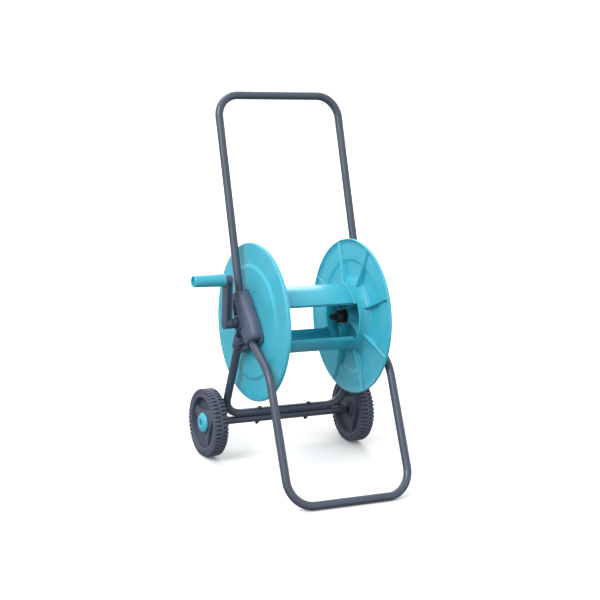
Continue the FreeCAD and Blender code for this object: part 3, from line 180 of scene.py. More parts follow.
def path_frames(path):
    """Two cross directions at each point of a 3-D path, carried along it without twist."""
    frames = []
    tangents = [(path[min(i + 1, len(path) - 1)] - path[max(i - 1, 0)]).normalized()
                for i in range(len(path))]
    normal = tangents[0].orthogonal().normalized()
    for i, tangent in enumerate(tangents):
        if i:
            normal = tangents[i - 1].rotation_difference(tangent) @ normal
        normal = (normal - tangent * normal.dot(tangent)).normalized()
        frames.append((normal, tangent.cross(normal)))
    return frames


def tube(bm, path, radius, turns=32):
    """A round bar along a 3-D path, with slightly eased ends."""
    sections = []
    for i, (point, (a, b)) in enumerate(zip(path, path_frames(path))):
        reach = radius - (0.4 if i in (0, len(path) - 1) else 0)
        sections.append([point + (a * math.cos(math.tau * k / turns)
                                  + b * math.sin(math.tau * k / turns)) * reach
                         for k in range(turns)])
    loft(bm, sections)


def bent(points, steps=18):
    """A 3-D path through points, each (x, y, z) or (x, y, z, bend radius)."""
    path = []
    for i, point in enumerate(points):
        here = Vector(point[:3])
        if len(point) == 3:
            toward = Vector(points[1 if i == 0 else i - 1][:3]) - here
            path.append(here)
            inside = here + toward.normalized() * 0.4
            path.insert(len(path) if i == 0 else len(path) - 1, inside)
            continue
        path += fillet(here, Vector(points[i - 1][:3]) - here, Vector(points[i + 1][:3]) - here,
                       point[3], steps)
    return path


def join(bm, other):
    """Add another mesh's geometry to bm."""
    mesh = bpy.data.meshes.new("part")
    other.to_mesh(mesh)
    other.free()
    bm.from_mesh(mesh)
    bpy.data.meshes.remove(mesh)


def upright(bm, outline, x, y=0, turns=56):
    """A turned shape whose axis stands upright."""
    turned = bmesh.new()
    lathe(turned, outline, turns=turns)
    turned.transform(Matrix.Translation((x, y, 0)) @ Matrix.Rotation(-math.pi / 2, 4, "Y"))
    join(bm, turned)


def block(bm, low, high, turn=0, ease=0):
    """A block between two corners, turned about X by an angle in degrees, with eased edges."""
    made = bmesh.new()
    verts = bmesh.ops.create_cube(made, size=1)["verts"]
    size = Vector(high) - Vector(low)
    middle = (Vector(high) + Vector(low)) / 2
    bmesh.ops.transform(made, verts=verts, matrix=Matrix.Rotation(-math.radians(turn), 4, "X")
                        @ Matrix.Translation(middle) @ Matrix.Diagonal((*size, 1)))
    if ease:
        bmesh.ops.bevel(made, geom=made.edges[:], offset=ease, segments=2, affect="EDGES")
    join(bm, made)


def cut(obj, cutter_bm, matrix):
    """Cut closed shapes out of a piece, and keep the result as its mesh."""
    bmesh.ops.recalc_face_normals(cutter_bm, faces=cutter_bm.faces)
    cutter_bm.transform(matrix)
    mesh = bpy.data.meshes.new("cutter")
    cutter_bm.to_mesh(mesh)
    cutter = bpy.data.objects.new("cutter", mesh)
    bpy.context.scene.collection.objects.link(cutter)
    modifier = obj.modifiers.new("cut", "BOOLEAN")
    modifier.object = cutter
    modifier.solver = "EXACT"
    bpy.context.view_layer.update()
    shaped = obj.evaluated_get(bpy.context.evaluated_depsgraph_get())
    result = bpy.data.meshes.new_from_object(shaped)
    obj.modifiers.clear()
    obj.data = result
    bpy.data.objects.remove(cutter)
    smooth(obj.data)


def smooth(mesh, limit=38):
    """Smooth shading, broken at edges sharper than the limit in degrees."""
    bm = bmesh.new()
    bm.from_mesh(mesh)
    for face in bm.faces:
        face.smooth = True
    for edge in bm.edges:
        edge.smooth = len(edge.link_faces) == 2 and edge.calc_face_angle(0) < math.radians(limit)
    bm.to_mesh(mesh)
    bm.free()


def piece(name, build, body, matrix, slot, *nodes):
    """Make one piece with build(bm), ride it on a CAD body and let it stand for CAD nodes.

    The piece takes its finish from the record's material slot.
    """
    bm = bmesh.new()
    build(bm)
    bmesh.ops.recalc_face_normals(bm, faces=bm.faces)
    bm.transform(matrix)
    mesh = bpy.data.meshes.new(name)
    bm.to_mesh(mesh)
    bm.free()
    smooth(mesh)
    obj = bpy.data.objects.new(name, mesh)
    bpy.context.scene.collection.objects.link(obj)
    mesh.materials.append(FINISH[slot])
    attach(obj, body)
    if nodes:
        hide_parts(*nodes)
    return obj


# ---------------------------------------------------------------- materials

def material(name, shade, rough, **shader):
    """A procedural finish: colour drift, fine surface grain, scuffs and uneven gloss.

    shade is the colour; rough is (lowest, highest) roughness; shader may hold grain (size of the
    fine bump in mm), bump (its strength), drift (colour change), wear (colour of light scuffs)
    and any constant for the shader's own sockets.
    """
    mat = bpy.data.materials.new(name)
    mat.use_nodes = True
    tree = mat.node_tree
    surface = tree.nodes["Principled BSDF"]
    grain, strength = shader.pop("grain", 0.5), shader.pop("bump", 0.15)
    drift, wear = shader.pop("drift", 0.08), shader.pop("wear", None)
    for socket, number in shader.items():
        surface.inputs[socket.replace("_", " ")].default_value = number

    def node(kind, **settings):
        made = tree.nodes.new(kind)
        for key, setting in settings.items():
            if key in made.inputs:
                made.inputs[key].default_value = setting
            else:
                setattr(made, key, setting)
        return made

    def noise(scale, detail=4.0):
        made = node("ShaderNodeTexNoise", Scale=scale, Detail=detail)
        tree.links.new(place.outputs["Object"], made.inputs["Vector"])
        return made.outputs["Fac"]

    def ramp(source, *stops):
        made = node("ShaderNodeValToRGB")
        for element, (spot, colour) in zip(made.color_ramp.elements, stops):
            element.position = spot
            element.color = (*colour, 1)
        tree.links.new(source, made.inputs["Fac"])
        return made.outputs["Color"]

    place = node("ShaderNodeTexCoord")
    darker = [channel * (1 - drift) for channel in shade]
    lighter = [min(1, channel * (1 + drift) + drift * 0.02) for channel in shade]
    colour = ramp(noise(14), (0.3, darker), (0.7, lighter))
    if wear:
        scuffs = ramp(noise(190, 8.0), (0.66, (0, 0, 0)), (0.78, (1, 1, 1)))
        blend = node("ShaderNodeMix", data_type="RGBA")
        tree.links.new(scuffs, blend.inputs["Factor"])
        tree.links.new(colour, blend.inputs["A"])
        blend.inputs["B"].default_value = (*wear, 1)
        colour = blend.outputs["Result"]
    tree.links.new(colour, surface.inputs["Base Color"])
    gloss = node("ShaderNodeMapRange")
    tree.links.new(noise(60), gloss.inputs["Value"])
    gloss.inputs["From Min"].default_value = 0.3
    gloss.inputs["From Max"].default_value = 0.7
    gloss.inputs["To Min"].default_value, gloss.inputs["To Max"].default_value = rough
    tree.links.new(gloss.outputs["Result"], surface.inputs["Roughness"])
    bump = node("ShaderNodeBump", Strength=strength, Distance=0.0004)
    tree.links.new(noise(1000 / grain, 2.0), bump.inputs["Height"])
    tree.links.new(bump.outputs["Normal"], surface.inputs["Normal"])
    return mat


FINISH = {
    "frame_paint": material(
        "satin_paint", (0.041, 0.057, 0.092), (0.30, 0.40), grain=1.4, bump=0.10, drift=0.10,
        wear=(0.09, 0.11, 0.15), Coat_Weight=0.25, Coat_Roughness=0.3),
    "dark_plastic": material(
        "dark_moulding", (0.056, 0.080, 0.134), (0.38, 0.52), grain=0.5, bump=0.20, drift=0.10,
        wear=(0.10, 0.12, 0.16)),
    "turquoise_plastic": material(
        "turquoise_moulding", (0.056, 0.405, 0.525), (0.28, 0.40), grain=0.8, bump=0.10,
        drift=0.05, Subsurface_Weight=0.6, Subsurface_Scale=0.012,
        Subsurface_Radius=(0.3, 1.0, 1.0)),
    "wheel_plastic": material(
        "wheel_moulding", (0.070, 0.083, 0.120), (0.50, 0.66), grain=0.5, bump=0.30, drift=0.14,
        wear=(0.105, 0.118, 0.15), Specular_IOR_Level=0.3),
    "black_plastic": material(
        "black_moulding", (0.012, 0.013, 0.017), (0.42, 0.58), grain=0.5, bump=0.15, drift=0.2,
        wear=(0.02, 0.02, 0.024)),
    "bush_plastic": material(
        "dark_acetal", (0.020, 0.025, 0.037), (0.35, 0.45), grain=0.6, bump=0.08),
    "steel": material(
        "black_zinc_steel", (0.060, 0.062, 0.068), (0.28, 0.45), grain=0.9, bump=0.15,
        drift=0.15, Metallic=1.0),
    "seal_rubber": material(
        "seal_rubber", (0.015, 0.015, 0.016), (0.55, 0.7), grain=0.4, bump=0.3, drift=0.2),
}


def finish_cad_nodes():
    """Give each CAD node the finish of its slot."""
    for part in frame["record"]["subparts"]:
        mesh = frame["nodes"][part["node"]].data
        mesh.materials.clear()
        mesh.materials.append(FINISH[part["material_slot"]])


# ---------------------------------------------------------------- bent tubes

def on_line(along, ahead, lean):
    """(y, z) of a point along a leaning line that passes ahead of the reel axis."""
    turn = math.radians(lean)
    return (along * math.sin(turn) - ahead * math.cos(turn),
            along * math.cos(turn) + ahead * math.sin(turn))


def u_path(half, end, corner, bend):
    """A U in a leaning plane: leg end, two bent corners, leg end."""
    return bent([(-half, *end), (-half, *corner, bend), (half, *corner, bend), (half, *end)])


def make_tubes():
    """The handle, rear frame, front stand and axle; a corner's last number is its bend radius."""
    handle = u_path(HALF_WIDTH, on_line(38, *HANDLE_LINE), on_line(507.2, *HANDLE_LINE), 50)
    rear = u_path(HALF_WIDTH, on_line(-36, *REAR_LINE), on_line(CROSS_TUBE, *REAR_LINE), 40)
    knee = on_line(-157.8, *STAND_LINE)
    lean = math.radians(STAND_DROP)
    drop = (AXIS_HIGH + knee[1] - TUBE) / math.cos(lean)
    foot = (knee[0] - drop * math.sin(lean), TUBE - AXIS_HIGH)
    legs = [(STAND_HALF, *on_line(-33, *STAND_LINE)), (STAND_HALF, *knee, 90),
            (STAND_HALF, *foot, 58)]
    stand = bent([(-x, *rest) for x, *rest in legs] + legs[::-1])
    axle = [Vector((x, 0, 0)) for x in (-196, -195.6, 195.6, 196)]
    for name, path, place, node in (("handle_tube_bent", handle, AXIS, "handle_tube"),
                                    ("rear_tube_bent", rear, AXIS, "rear_frame_tube"),
                                    ("stand_tube_bent", stand, AXIS, "stand_tube"),
                                    ("axle_tube_long", axle, HUB, "axle_tube")):
        piece(name, lambda bm: tube(bm, path, TUBE), "cart", place, "frame_paint", node)


def make_axle_bolts():
    """Dome-head bolts through the cross tube and the axle tube that lies under it."""
    top, bottom = CROSS_TUBE + TUBE, CROSS_TUBE - 3 * TUBE

    def both(outline):
        def build(bm):
            for x in (-BOLT_X, BOLT_X):
                upright(bm, outline, x, -REAR_LINE[0], 40)
        return build

    head = rounded([(top, 0), (top, 5.2, 0.5), (top + 1.2, 5.2, 0.6), (top + 3.4, 3.2, 1.5),
                    (top + 3.4, 1.6), (top + 1.6, 1.5), (top + 1.6, 0)])
    tip = rounded([(bottom, 0), (bottom, 2.5), (bottom - 7, 2.5), (bottom - 7.6, 1.9),
                   (bottom - 7.6, 0)])
    piece("axle_bolt_heads", both(head), "cart", REAR, "steel", "axle_bolts")
    piece("axle_bolt_tips", both(tip), "cart", REAR, "steel")


# ---------------------------------------------------------------- wheels

WHEEL_IN, WHEEL_OUT, RIM_R, TYRE_R = 169.2, 201.7, 57.5, 76.0
MEMBRANE_IN, MEMBRANE_OUT = 184, 187
LUGS = 50
SPOKE_TURN = 15


def web_outline():
    """The three-armed web left between the lens-shaped pockets."""
    outline = []
    for pocket in range(3):
        middle = 120 * pocket + SPOKE_TURN
        turn = math.radians(middle)
        centre = (158 * math.sin(turn), 158 * math.cos(turn))
        outline += arc(129, middle + 180 + 20.5, middle + 180 - 20.5, 22, centre)
        outline += arc(RIM_R + 1, middle + 54, middle + 66, 4)
    return [Vector(point) for point in outline]


def wheel_body(bm, side):
    """Tyre ring with a thin membrane, the three-armed web, the hub and the tread's middle rib."""
    tyre = rounded([
        (WHEEL_IN, RIM_R + 1, 1), (WHEEL_IN, 65.6, 0.4), (WHEEL_IN + 0.9, 66.6),
        (WHEEL_IN + 0.6, 69.4, 1.5), (WHEEL_IN + 2.6, 71.2, 1), (WHEEL_OUT - 2.6, 71.2, 1),
        (WHEEL_OUT - 0.6, 69.4, 1.5), (WHEEL_OUT - 0.9, 66.6), (WHEEL_OUT, 65.6, 0.4),
        (WHEEL_OUT, RIM_R + 1, 1), (WHEEL_OUT - 1.5, RIM_R - 1, 1), (MEMBRANE_OUT, RIM_R - 1.6, 2),
        (MEMBRANE_OUT, 12), (MEMBRANE_IN, 12), (MEMBRANE_IN, RIM_R - 1.6, 2),
        (WHEEL_IN + 1.5, RIM_R - 1, 1)])
    lathe(bm, tyre, side, 120)
    plate(bm, web_outline(), 176, 195, 1.6, side)
    hub = rounded([(WHEEL_IN, BORE), (WHEEL_IN, 17, 1), (176, 19, 2), (195, 22, 2),
                   (196, 20, 0.5), (196, BORE)])
    lathe(bm, hub, side, 72)
    rib = rounded([(182.6, 70.8), (183.4, 75.9, 0.6), (187.5, 75.9, 0.6), (188.3, 70.8)])
    lathe(bm, rib, side, 120)


def lug(bm, side, inner, outer, turn):
    """One tread block, from the middle rib over the tyre's shoulder."""
    way = 1 if outer > inner else -1
    profile = [(inner, 70.6), (inner, TYRE_R), (outer - 4 * way, TYRE_R),
               (outer - 1.8 * way, 75.2), (outer - 0.3 * way, 73.2), (outer, 71),
               (outer, 68.2), (outer - 1.2 * way, 67.4), (outer - 3 * way, 70)]
    sections = []
    for spread, shrink in ((-2.3, 1.2), (-2.0, 0.15), (-1.7, 0), (1.7, 0), (2.0, 0.15),
                           (2.3, 1.2)):
        angle = math.radians(turn + spread)
        sections.append([(side * x, (r - shrink) * math.sin(angle), (r - shrink) * math.cos(angle))
                         for x, r in profile])
    loft(bm, sections)


def wheel_tread(bm, side):
    """Two rows of lugs, set half a step apart."""
    step = 360 / LUGS
    for k in range(LUGS):
        lug(bm, side, 186.8, WHEEL_OUT, step * k)
        lug(bm, side, 184.1, WHEEL_IN, step * (k + 0.5))


def hub_cap(bm, side):
    """A domed cap with a hole for its screw."""
    dome = rounded([
        (196.7, 2.2), (196.7, 22.5, 0.5), (199.6, 22.5, 1.5), (203.6, 18.4, 4),
        (205, 12, 3), (205, 7.4, 0.8), (203.9, 6.4, 0.4), (199.7, 6.2, 0.4), (199.7, 2.2)])
    lathe(bm, dome, side, 72)


def cap_screws(bm):
    """The heads of both caps' screws."""
    head = rounded([(199.75, 0), (199.75, 4.4, 0.3), (201.4, 3.8, 0.8), (202, 2.2), (202, 0)])
    for side in (LEFT, RIGHT):
        lathe(bm, head, side, 32)


def make_wheels():
    for side, word in SIDES:
        body = "wheel_" + word[0]
        piece("wheel_moulding_" + word, lambda bm: wheel_body(bm, side), body, HUB,
              "wheel_plastic", "wheel_" + word)
        piece("wheel_tread_" + word, lambda bm: wheel_tread(bm, side), body, HUB, "wheel_plastic")
        piece("hub_cap_dome_" + word, lambda bm: hub_cap(bm, side), "cart", HUB,
              "turquoise_plastic", "hub_cap_" + word)
    piece("cap_screws_cross", cap_screws, "cart", HUB, "steel", "hub_cap_screws")


# ---------------------------------------------------------------- drum

# radii of the flanges' collar, of the core panels' shell and of their lips
COLLAR_OUT, COLLAR_IN = 76, 74
CORE_OUT, CORE_IN, LIP_IN = 73.65, 70.65, 64.2
# where ribs, webs, tabs and plain slots stand round the reel, in degrees
RIB_TURNS = [22.5 + 45 * k for k in range(8)]
WEB_TURNS = (67.5, 157.5, 247.5, 337.5)
TAB_TURNS = (25, -25, 155, 205)
PLAIN_TURNS = (52, -52, 128, 232)
TAB_HALF = 6.4


def flange_shell(bm, side, bore):
    """The flange's disc with its raised middle, rolled rim, collar and boss."""
    outline = rounded([
        (131.5, bore), (131.5, 69.6), (130.1, 70.1), (130.1, 70.7), (131.5, 71.2),
        (131.5, 120.6, 7), (127.3, 127.4, 7), (126.7, 150),
        (127.5, 174, 6.5), (118.8, 174, 1.1), (118.8, 171.2, 1.1), (122.6, 169.6, 6),
        (124.0, 160, 12), (123.6, 148), (124.0, 128, 2.6), (128.3, 121.8, 2.6),
        (128.3, 88, 2), (122, 79, 7), (112, 76.2, 9), (101, COLLAR_OUT, 0.9),
        (101, COLLAR_IN, 0.9), (126.4, COLLAR_IN, 2), (128.3, 70, 2), (128.3, 24, 4),
        (112, 20.4, 8), (106, 20, 1.2), (106, bore)])
    lathe(bm, outline, side, 144)


def flange_rib(bm, side, turn):
    """A radial rib whose sides flare softly into the flange."""
    angle = math.radians(turn)
    out = Vector((0, math.sin(angle), math.cos(angle)))
    across = Vector((0, math.cos(angle), -math.sin(angle)))
    stations = ((75.2, 113.2, 128.7), (84, 114.0, 128.7), (119, 117.2, 128.7),
                (124.5, 117.6, 126.0), (129, 117.9, 124.4), (150, 118.9, 123.8),
                (171.6, 119.4, 123.8))
    sections = []
    for radius, top, base in stations:
        depth = base - top
        half = ((5.2, 0), (3.0, 0.8), (1.9, 2.4), (1.5, 0.6 * depth), (1.15, depth - 0.7),
                (0.6, depth))
        profile = [(width, base - rise) for width, rise in half]
        profile += [(-width, along) for width, along in reversed(profile)]
        sections.append([out * radius + across * width + Vector((side * along, 0, 0))
                         for width, along in profile])
    loft(bm, sections)


def flange_webs(bm, side):
    """Four thin webs inside the collar, from the boss to the collar."""
    for turn in WEB_TURNS:
        angle = math.radians(turn)
        out = Vector((0, math.sin(angle), math.cos(angle)))
        across = Vector((0, math.cos(angle), -math.sin(angle)))
        sections = []
        for radius, top in ((18, 109), (22, 108), (60, 104.6), (74.4, 103.6)):
            sections.append([out * radius + across * width + Vector((side * along, 0, 0))
                             for width, along in ((-2.0, 128.8), (-1.3, 126), (-1.2, top),
                                                  (1.2, top), (1.3, 126), (2.0, 128.8))])
        loft(bm, sections)


def sleeve(bm, side):
    """Two arcs that carry the collar on over the ends of the core panels."""
    for middle in (0, 180):
        outer = arc(COLLAR_OUT, middle - 58, middle + 58, 48)
        inner = arc(COLLAR_IN, middle + 58, middle - 58, 48)
        plate(bm, [Vector(point) for point in outer + inner], 92, 101.6, 0.5, side)


def flange_inside(bm, side):
    """The ribs, webs and sleeves on a flange's inner face."""
    for turn in RIB_TURNS:
        flange_rib(bm, side, turn)
    flange_webs(bm, side)
    sleeve(bm, side)


def slots(side, turns, half, start):
    """Slots round the core panels' ends, from a distance outwards, as a cutting shape."""
    bm = bmesh.new()
    for turn in turns:
        block(bm, (side * start, -half, 69.9), (side * 134, half, 73.5), turn)
    return bm


def make_flanges():
    """Flanges bored for journal or spindle, with slots for the tabs and plain slots beside."""
    for side, word in SIDES:
        bore = 9.15 if side > 0 else 8.9
        shell = piece("flange_dish_" + word, lambda bm: flange_shell(bm, side, bore), "reel", DRUM,
                      "turquoise_plastic", "flange_" + word)
        cut(shell, slots(side, TAB_TURNS, TAB_HALF + 0.4, 101), DRUM)
        cut(shell, slots(side, TAB_TURNS, 13, 127.5), DRUM)
        cut(shell, slots(side, PLAIN_TURNS, 11, 127.5), DRUM)
        piece("flange_ribs_" + word, lambda bm: flange_inside(bm, side), "reel", DRUM,
              "turquoise_plastic")


def core_panel(bm):
    """A panel of the drum core: a curved shell with lips, a middle rib and tabs."""
    edge = math.radians(57)
    lip = Vector((math.sin(edge), math.cos(edge)))
    thick = Vector((math.cos(edge), -math.sin(edge))) * -3.2
    root = CORE_IN - 0.1
    corners = [(*(lip * CORE_OUT), 1.3), (*(lip * LIP_IN), 1.3), (*(lip * LIP_IN + thick), 1.3),
               (*(lip * root + thick), 2.0)]
    inner = arc(CORE_IN, 50, -50, 40)
    rib = [(2.6, root, 1.5), (1.5, 64.6, 0.8), (-1.5, 64.6, 0.8), (-2.6, root, 1.5)]
    far = [(-point[0], *point[1:]) for point in reversed(corners)]
    outline = rounded([*corners, *inner[:20], *rib, *inner[21:], *far], 3)
    outline += [Vector(point) for point in arc(CORE_OUT, -56, 56, 60)]
    plate(bm, outline, -97.9, 97.9, 0.5)
    for side in (LEFT, RIGHT):
        for turn in TAB_TURNS[:2]:
            block(bm, (side * 92, -TAB_HALF, 70.15), (side * 129.4, TAB_HALF, 73.15), turn, 0.5)


def make_core():
    half_turn = DRUM @ Matrix.Rotation(math.pi, 4, "X")
    for word, place in (("upper", DRUM), ("lower", half_turn)):
        piece("core_panel_shell_" + word, core_panel, "reel", place, "turquoise_plastic",
              "core_panel_" + word)


# ---------------------------------------------------------------- crank

ARM_OUT, ARM_IN, CRANK = 193.5, 178.0, 96.0


def arm_outline(hub, tip):
    """A tapered link round the crank's axis and its tip."""
    lower = arc(hub, 94, 266, 24)
    upper = arc(tip, -84, 84, 24, (0, CRANK))
    return [Vector(point) for point in lower + upper]


def crank_arm(bm):
    """An arm of I section with its bosses, the hub, the screw's pad and the journal."""
    plate(bm, arm_outline(12, 11), ARM_OUT - 3.2, ARM_OUT, 0.9, LEFT)
    plate(bm, arm_outline(12, 11), ARM_IN, ARM_IN + 3.0, 0.9, LEFT)
    plate(bm, arm_outline(4.6, 4.4), ARM_IN + 1, ARM_OUT - 1, 0.4, LEFT)
    for radius, low, high, centre in ((10.9, ARM_IN + 1, ARM_OUT - 1, (0, CRANK)),
                                      (11.2, ARM_IN + 1, ARM_OUT - 1, (0, 0))):
        lathe(bm, rounded([(low, 0), (low, radius), (high, radius), (high, 0)]), LEFT, 64, centre)
    hub = rounded([(164.3, 0), (164.3, 10.5, 0.8), (176, 10.9), (ARM_IN + 1, 12, 1.5),
                   (ARM_IN + 2, 0)])
    lathe(bm, hub, LEFT, 64)
    pad = rounded([(ARM_OUT - 1, 0), (ARM_OUT - 1, 7.6), (ARM_OUT - 0.3, 7.6, 0.3),
                   (ARM_OUT - 0.3, 0)])
    lathe(bm, pad, LEFT, 48)
    journal = rounded([(107, 0), (107, 8.9), (164.5, 8.9), (164.5, 0)])
    lathe(bm, journal, LEFT, 64)


def crank_grip(bm):
    """A hollow tapered grip with a rounded end."""
    outline = rounded([
        (194, 5.1), (194, 13.2, 0.8), (195.2, 14.3, 1.0), (199, 14.3), (230, 13.5),
        (262, 12.95), (266.6, 12.8, 1.2), (268, 11.4, 1.0), (267.8, 9.7, 0.6),
        (256.2, 9.4, 0.6), (256, 5.1)])
    lathe(bm, outline, LEFT, 72)


def make_crank():
    piece("crank_arm_moulding", crank_arm, "reel", DRUM, "dark_plastic", "crank_arm")
    piece("crank_grip_shell", crank_grip, "grip", GRIP_LINE, "turquoise_plastic", "crank_grip")


# ---------------------------------------------------------------- side brackets

# the web behind the column, from its top round the hub to its foot
WEB = [(-15, 62, 3), (8, 60, 5), (19, 42, 8), (23, 20, 10), (22, 2, 6), (58, -34, 4),
       (47.5, -49.5, 4), (3, -59, 6), (-15, -56, 2)]


def bracket_line(along, ahead, lean):
    """(y, z) in the bracket frame of a point along a tube's line."""
    return on_line(along, ahead, lean - BRACKET_LEAN)


# height up the column, how far its front lies ahead of the hub, and how far its skin pulls in
COLUMN = ((-57, 43, 8), (-56, 45.5, 5), (-53.5, 47.6, 2.2), (-50, 49, 0.8), (-44, 50, 0),
          (-28, 50.6, 0), (-10, 49.6, 0), (12, 46.6, 0), (34, 42.4, 0), (52, 38, 0),
          (60, 35.6, 0.3), (63, 34.4, 1.4), (64, 33.4, 3.4))


def column(bm, side):
    """The smooth front column: a swelling barrel that closes softly at its ends."""
    sections = []
    for height, front, pull in COLUMN:
        wide, deep = 26 - pull, front - 14 - pull * 0.4
        turns = [math.radians(7.5 * k) for k in range(13)]
        barrel = [(137 + wide * math.cos(t) ** 0.8, -14 - deep * math.sin(t) ** 0.8)
                  for t in turns]
        sections.append([(side * x, y, height) for x, y in [(137, -13), *barrel]])
    loft(bm, sections)


def ring_along(bm, side, x, start, end, outer, inner):
    """A socket ring round a tube's line between two (y, z) points, with rounded lips."""
    run = Vector((0, end[0] - start[0], end[1] - start[1]))
    outline = rounded([(0, inner), (0, outer, 1.6), (run.length, outer, 1.6),
                       (run.length, inner)], 3)
    turned = bmesh.new()
    lathe(turned, outline, turns=56)
    aim = run.to_track_quat("X", "Z").to_matrix().to_4x4()
    turned.transform(Matrix.Translation((side * x, *start)) @ aim)
    join(bm, turned)


def rib(bm, side, start, end, low=138.5, high=160.0, thick=3.0):
    """A stiffening rib between two (y, z) points, wider where it meets the web."""
    run = (Vector(end) - Vector(start)).normalized()
    across = Vector((-run.y, run.x))
    sections = []
    for along, spread in ((low, 0.5), (high - 0.8, 0.42), (high, 0.26)):
        sections.append([(side * along, *(Vector(point) + across * thick * way * spread))
                         for point, way in ((start, -1), (end, -1), (end, 1), (start, 1))])
    loft(bm, sections)


def bracket(bm, side):
    """The side bracket: column, web, hub, three sockets and the ribs between them."""
    column(bm, side)
    plate(bm, rounded(WEB), 143.5, 148.5, 0.8, side)
    hub = rounded([(137, 12.1), (137, 17, 1), (161, 17, 2.5), (163, 15.2, 1), (163, 12.1)])
    lathe(bm, hub, side, 64)
    handle = [bracket_line(a, *HANDLE_LINE) for a in (44, 67.5)]
    stand = [bracket_line(a, *STAND_LINE) for a in (-60.5, -40)]
    leg = [bracket_line(a, *REAR_LINE) for a in (-61, -32)]
    ring_along(bm, side, HALF_WIDTH, *handle, 12.2, BORE)
    ring_along(bm, side, 149.5, *stand, 12.4, BORE)
    ring_along(bm, side, HALF_WIDTH, *leg, 13, BORE)
    column_foot = (-14, -50)
    for start, end in ((bracket_line(-36, *REAR_LINE), (9, -9)), (column_foot, (4, -14)),
                       (column_foot, bracket_line(-57, *REAR_LINE)),
                       ((-15, 44), (8, 14)), ((-15, 20), (-6, 12))):
        rib(bm, side, start, end)
    edges = [point[:2] for point in WEB]
    for start, end in zip(edges, edges[1:]):
        rib(bm, side, start, end, 142, 153, 2.4)


def cover(bm, side):
    """The inner cover plate, with a small foot at its lower front corner."""
    outline = rounded([(-16, 62, 3), (4, 46, 8), (19, 20, 10), (20, 2, 6), (57, -34, 4),
                       (47, -49, 4), (-4, -64, 6), (-46, -66, 4), (-50.5, -52, 6),
                       (-50.8, -26, 30), (-43, 32, 40), (-35, 62, 3)])
    plate(bm, outline, 133.6, 136.9, 0.8, side)


def make_brackets():
    for side, word in SIDES:
        piece("bracket_moulding_" + word, lambda bm: bracket(bm, side), "cart", BRACKET,
              "dark_plastic", "side_bracket_" + word)
        piece("bracket_plate_" + word, lambda bm: cover(bm, side), "cart", BRACKET,
              "dark_plastic", "bracket_cover_" + word)


# ---------------------------------------------------------------- water passage

BRANCH_X = 185.5


def tail_nut(bm):
    """A union nut with 24 ribs."""
    outline = []
    corners = 4 * 24
    for k in range(corners):
        reach = 14 if k % 4 < 2 else 13.5
        turn = math.tau * k / corners
        outline.append(Vector((reach * math.sin(turn), reach * math.cos(turn))))
    plate(bm, outline, 84, 98.5, 0.8)
    collar = rounded([(82.5, 7.6), (82.5, 12, 1), (84.5, 13, 0.6), (98, 13, 0.6),
                      (100.2, 11.5, 0.8), (100.2, 9.1)])
    lathe(bm, collar, RIGHT, 64)


def tail_nipple(bm):
    """The nipple that the wound hose's inner end pushes onto."""
    outline = rounded([
        (70, 3.5), (70, 6, 0.5), (71, 7, 0.5), (74, 7, 0.4), (74.6, 5.6, 0.3), (77, 5.6, 0.3),
        (78, 7.5, 0.4), (84.5, 7.5), (84.5, 8.6), (86.4, 8.6), (86.4, 3.5)])
    lathe(bm, outline, RIGHT, 48)


def inlet_elbow(bm):
    """The swivelling body, its branch and two ribs beside the branch."""
    body = rounded([
        (168, 9.1), (168, 12.6, 0.6), (169, 13.5, 0.8), (193, 13.5, 2), (196, 10.5, 2),
        (196, 0), (191, 0), (191, 9.1)])
    lathe(bm, body, RIGHT, 64)
    branch = rounded([(-34, 7), (-34, 10.6, 0.8), (-29, 10.6, 0.8), (-28, 9.9, 0.6),
                      (-11, 9.9, 3), (-9, 11.6, 2), (-9, 7)])
    upright(bm, branch, BRANCH_X)
    for y in (-8, 8):
        block(bm, (172, y - 1.2, -13.6), (193, y + 1.2, -10), ease=0.6)


def inlet_nipple(bm):
    """The hose nipple with its flange, below the branch."""
    outline = rounded([
        (-24, 4.5), (-24, 6.9), (-34, 6.9), (-34, 11, 0.6), (-39, 11, 0.6), (-39, 8),
        (-51, 8, 0.4), (-52, 6.3, 0.4), (-54.4, 6.3, 0.4), (-55.4, 7.3, 0.4), (-59, 7.3, 0.5),
        (-60, 6.3, 0.3), (-60, 4.5)])
    upright(bm, outline, BRANCH_X)


def make_water_passage():
    piece("tail_nut_ribbed", tail_nut, "reel", DRUM, "black_plastic", "tail_nut")
    piece("tail_nipple_turned", tail_nipple, "reel", DRUM, "black_plastic", "tail_nipple")
    piece("inlet_elbow_moulding", inlet_elbow, "inlet", AXIS, "black_plastic", "inlet_elbow")
    piece("inlet_nipple_turned", inlet_nipple, "inlet", AXIS, "black_plastic", "inlet_nipple")


# ---------------------------------------------------------------- floor, light, camera

def make_stage():
    """A wide pale floor that takes shadows but bounces no light onto the cart."""
    bm = bmesh.new()
    bmesh.ops.create_grid(bm, x_segments=8, y_segments=8, size=40)
    mesh = bpy.data.meshes.new("floor")
    bm.to_mesh(mesh)
    bm.free()
    floor = bpy.data.objects.new("floor", mesh)
    bpy.context.scene.collection.objects.link(floor)
    floor.data.materials.append(material("pale_floor", (0.93, 0.93, 0.93), (0.8, 0.9), bump=0.0,
                                         drift=0.0))
    floor.visible_diffuse = False
    floor.visible_glossy = False


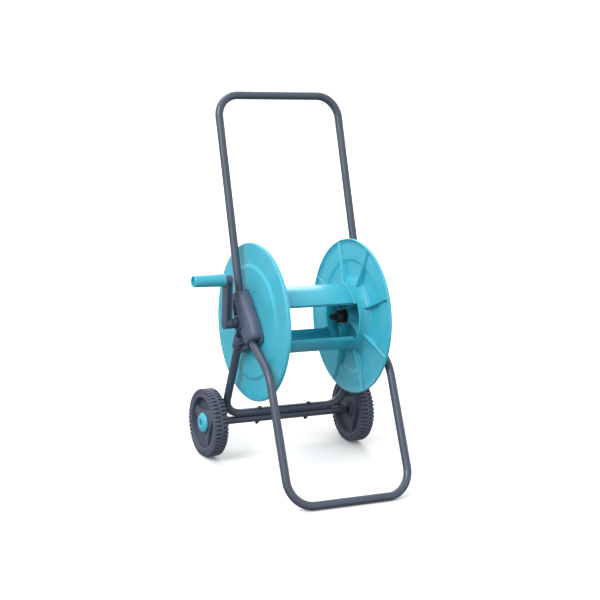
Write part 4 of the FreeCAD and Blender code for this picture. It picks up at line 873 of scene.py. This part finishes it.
def make_sky(above, below):
    """A soft white dome over a darker ground, as brightness above and below the horizon."""
    world = bpy.data.worlds.new("studio")
    world.use_nodes = True
    tree = world.node_tree
    place = tree.nodes.new("ShaderNodeTexCoord")
    split = tree.nodes.new("ShaderNodeSeparateXYZ")
    fade = tree.nodes.new("ShaderNodeMapRange")
    fade.interpolation_type = "SMOOTHSTEP"
    fade.inputs["From Min"].default_value, fade.inputs["From Max"].default_value = -0.4, -0.08
    fade.inputs["To Min"].default_value, fade.inputs["To Max"].default_value = below, above
    tree.links.new(place.outputs["Generated"], split.inputs["Vector"])
    tree.links.new(split.outputs["Z"], fade.inputs["Value"])
    tree.links.new(fade.outputs["Result"], tree.nodes["Background"].inputs["Strength"])
    tree.nodes["Background"].inputs["Color"].default_value = (1, 1, 1, 1)
    bpy.context.scene.world = world
    bpy.context.scene.view_settings.view_transform = "Standard"


def lamp(name, kind, spot, energy, **settings):
    """A light that points at the middle of the cart."""
    data = bpy.data.lights.new(name, kind)
    data.energy = energy
    for key, setting in settings.items():
        setattr(data, key, setting)
    obj = bpy.data.objects.new(name, data)
    obj.location = spot
    obj.rotation_mode = "QUATERNION"
    obj.rotation_quaternion = (Vector((0, 0, 0.35)) - Vector(spot)).to_track_quat("-Z", "Y")
    bpy.context.scene.collection.objects.link(obj)


def make_lights():
    """A broad key from the upper left, and soft panels overhead and behind."""
    lamp("key", "SUN", (-3.2, -1.3, 3.4), 1.9, angle=math.radians(28))
    lamp("panel", "AREA", (-0.5, 0.6, 2.4), 12, shape="DISK", size=1.4)
    lamp("back", "AREA", (1.0, 3.6, 2.2), 75, shape="DISK", size=3.0)


def make_camera():
    """The photograph's viewpoint: from the crank side, a little above, slightly rolled."""
    turn, pitch, roll = (math.radians(a) for a in (-28.961, 16.044, 5.313))
    forward = Vector((-math.sin(turn) * math.cos(pitch), math.cos(turn) * math.cos(pitch),
                      -math.sin(pitch)))
    level = Vector((math.cos(turn), math.sin(turn), 0))
    right = level * math.cos(roll) + level.cross(forward) * math.sin(roll)
    up = right.cross(forward)
    spot = CART @ Vector((-1587.5, -2848.0, 1304.1))
    data = bpy.data.cameras.new("camera")
    data.sensor_width = 36
    data.lens = 92.15
    data.clip_end = 200
    camera = bpy.data.objects.new("camera", data)
    camera.matrix_world = Matrix((
        (right.x, up.x, -forward.x, spot.x), (right.y, up.y, -forward.y, spot.y),
        (right.z, up.z, -forward.z, spot.z), (0, 0, 0, 1)))
    bpy.context.scene.collection.objects.link(camera)
    bpy.context.scene.camera = camera


make_camera()
make_stage()
make_sky(1.0, 0.28)
make_lights()
finish_cad_nodes()
make_tubes()
make_axle_bolts()
make_wheels()
make_flanges()
make_core()
make_crank()
make_brackets()
make_water_passage()
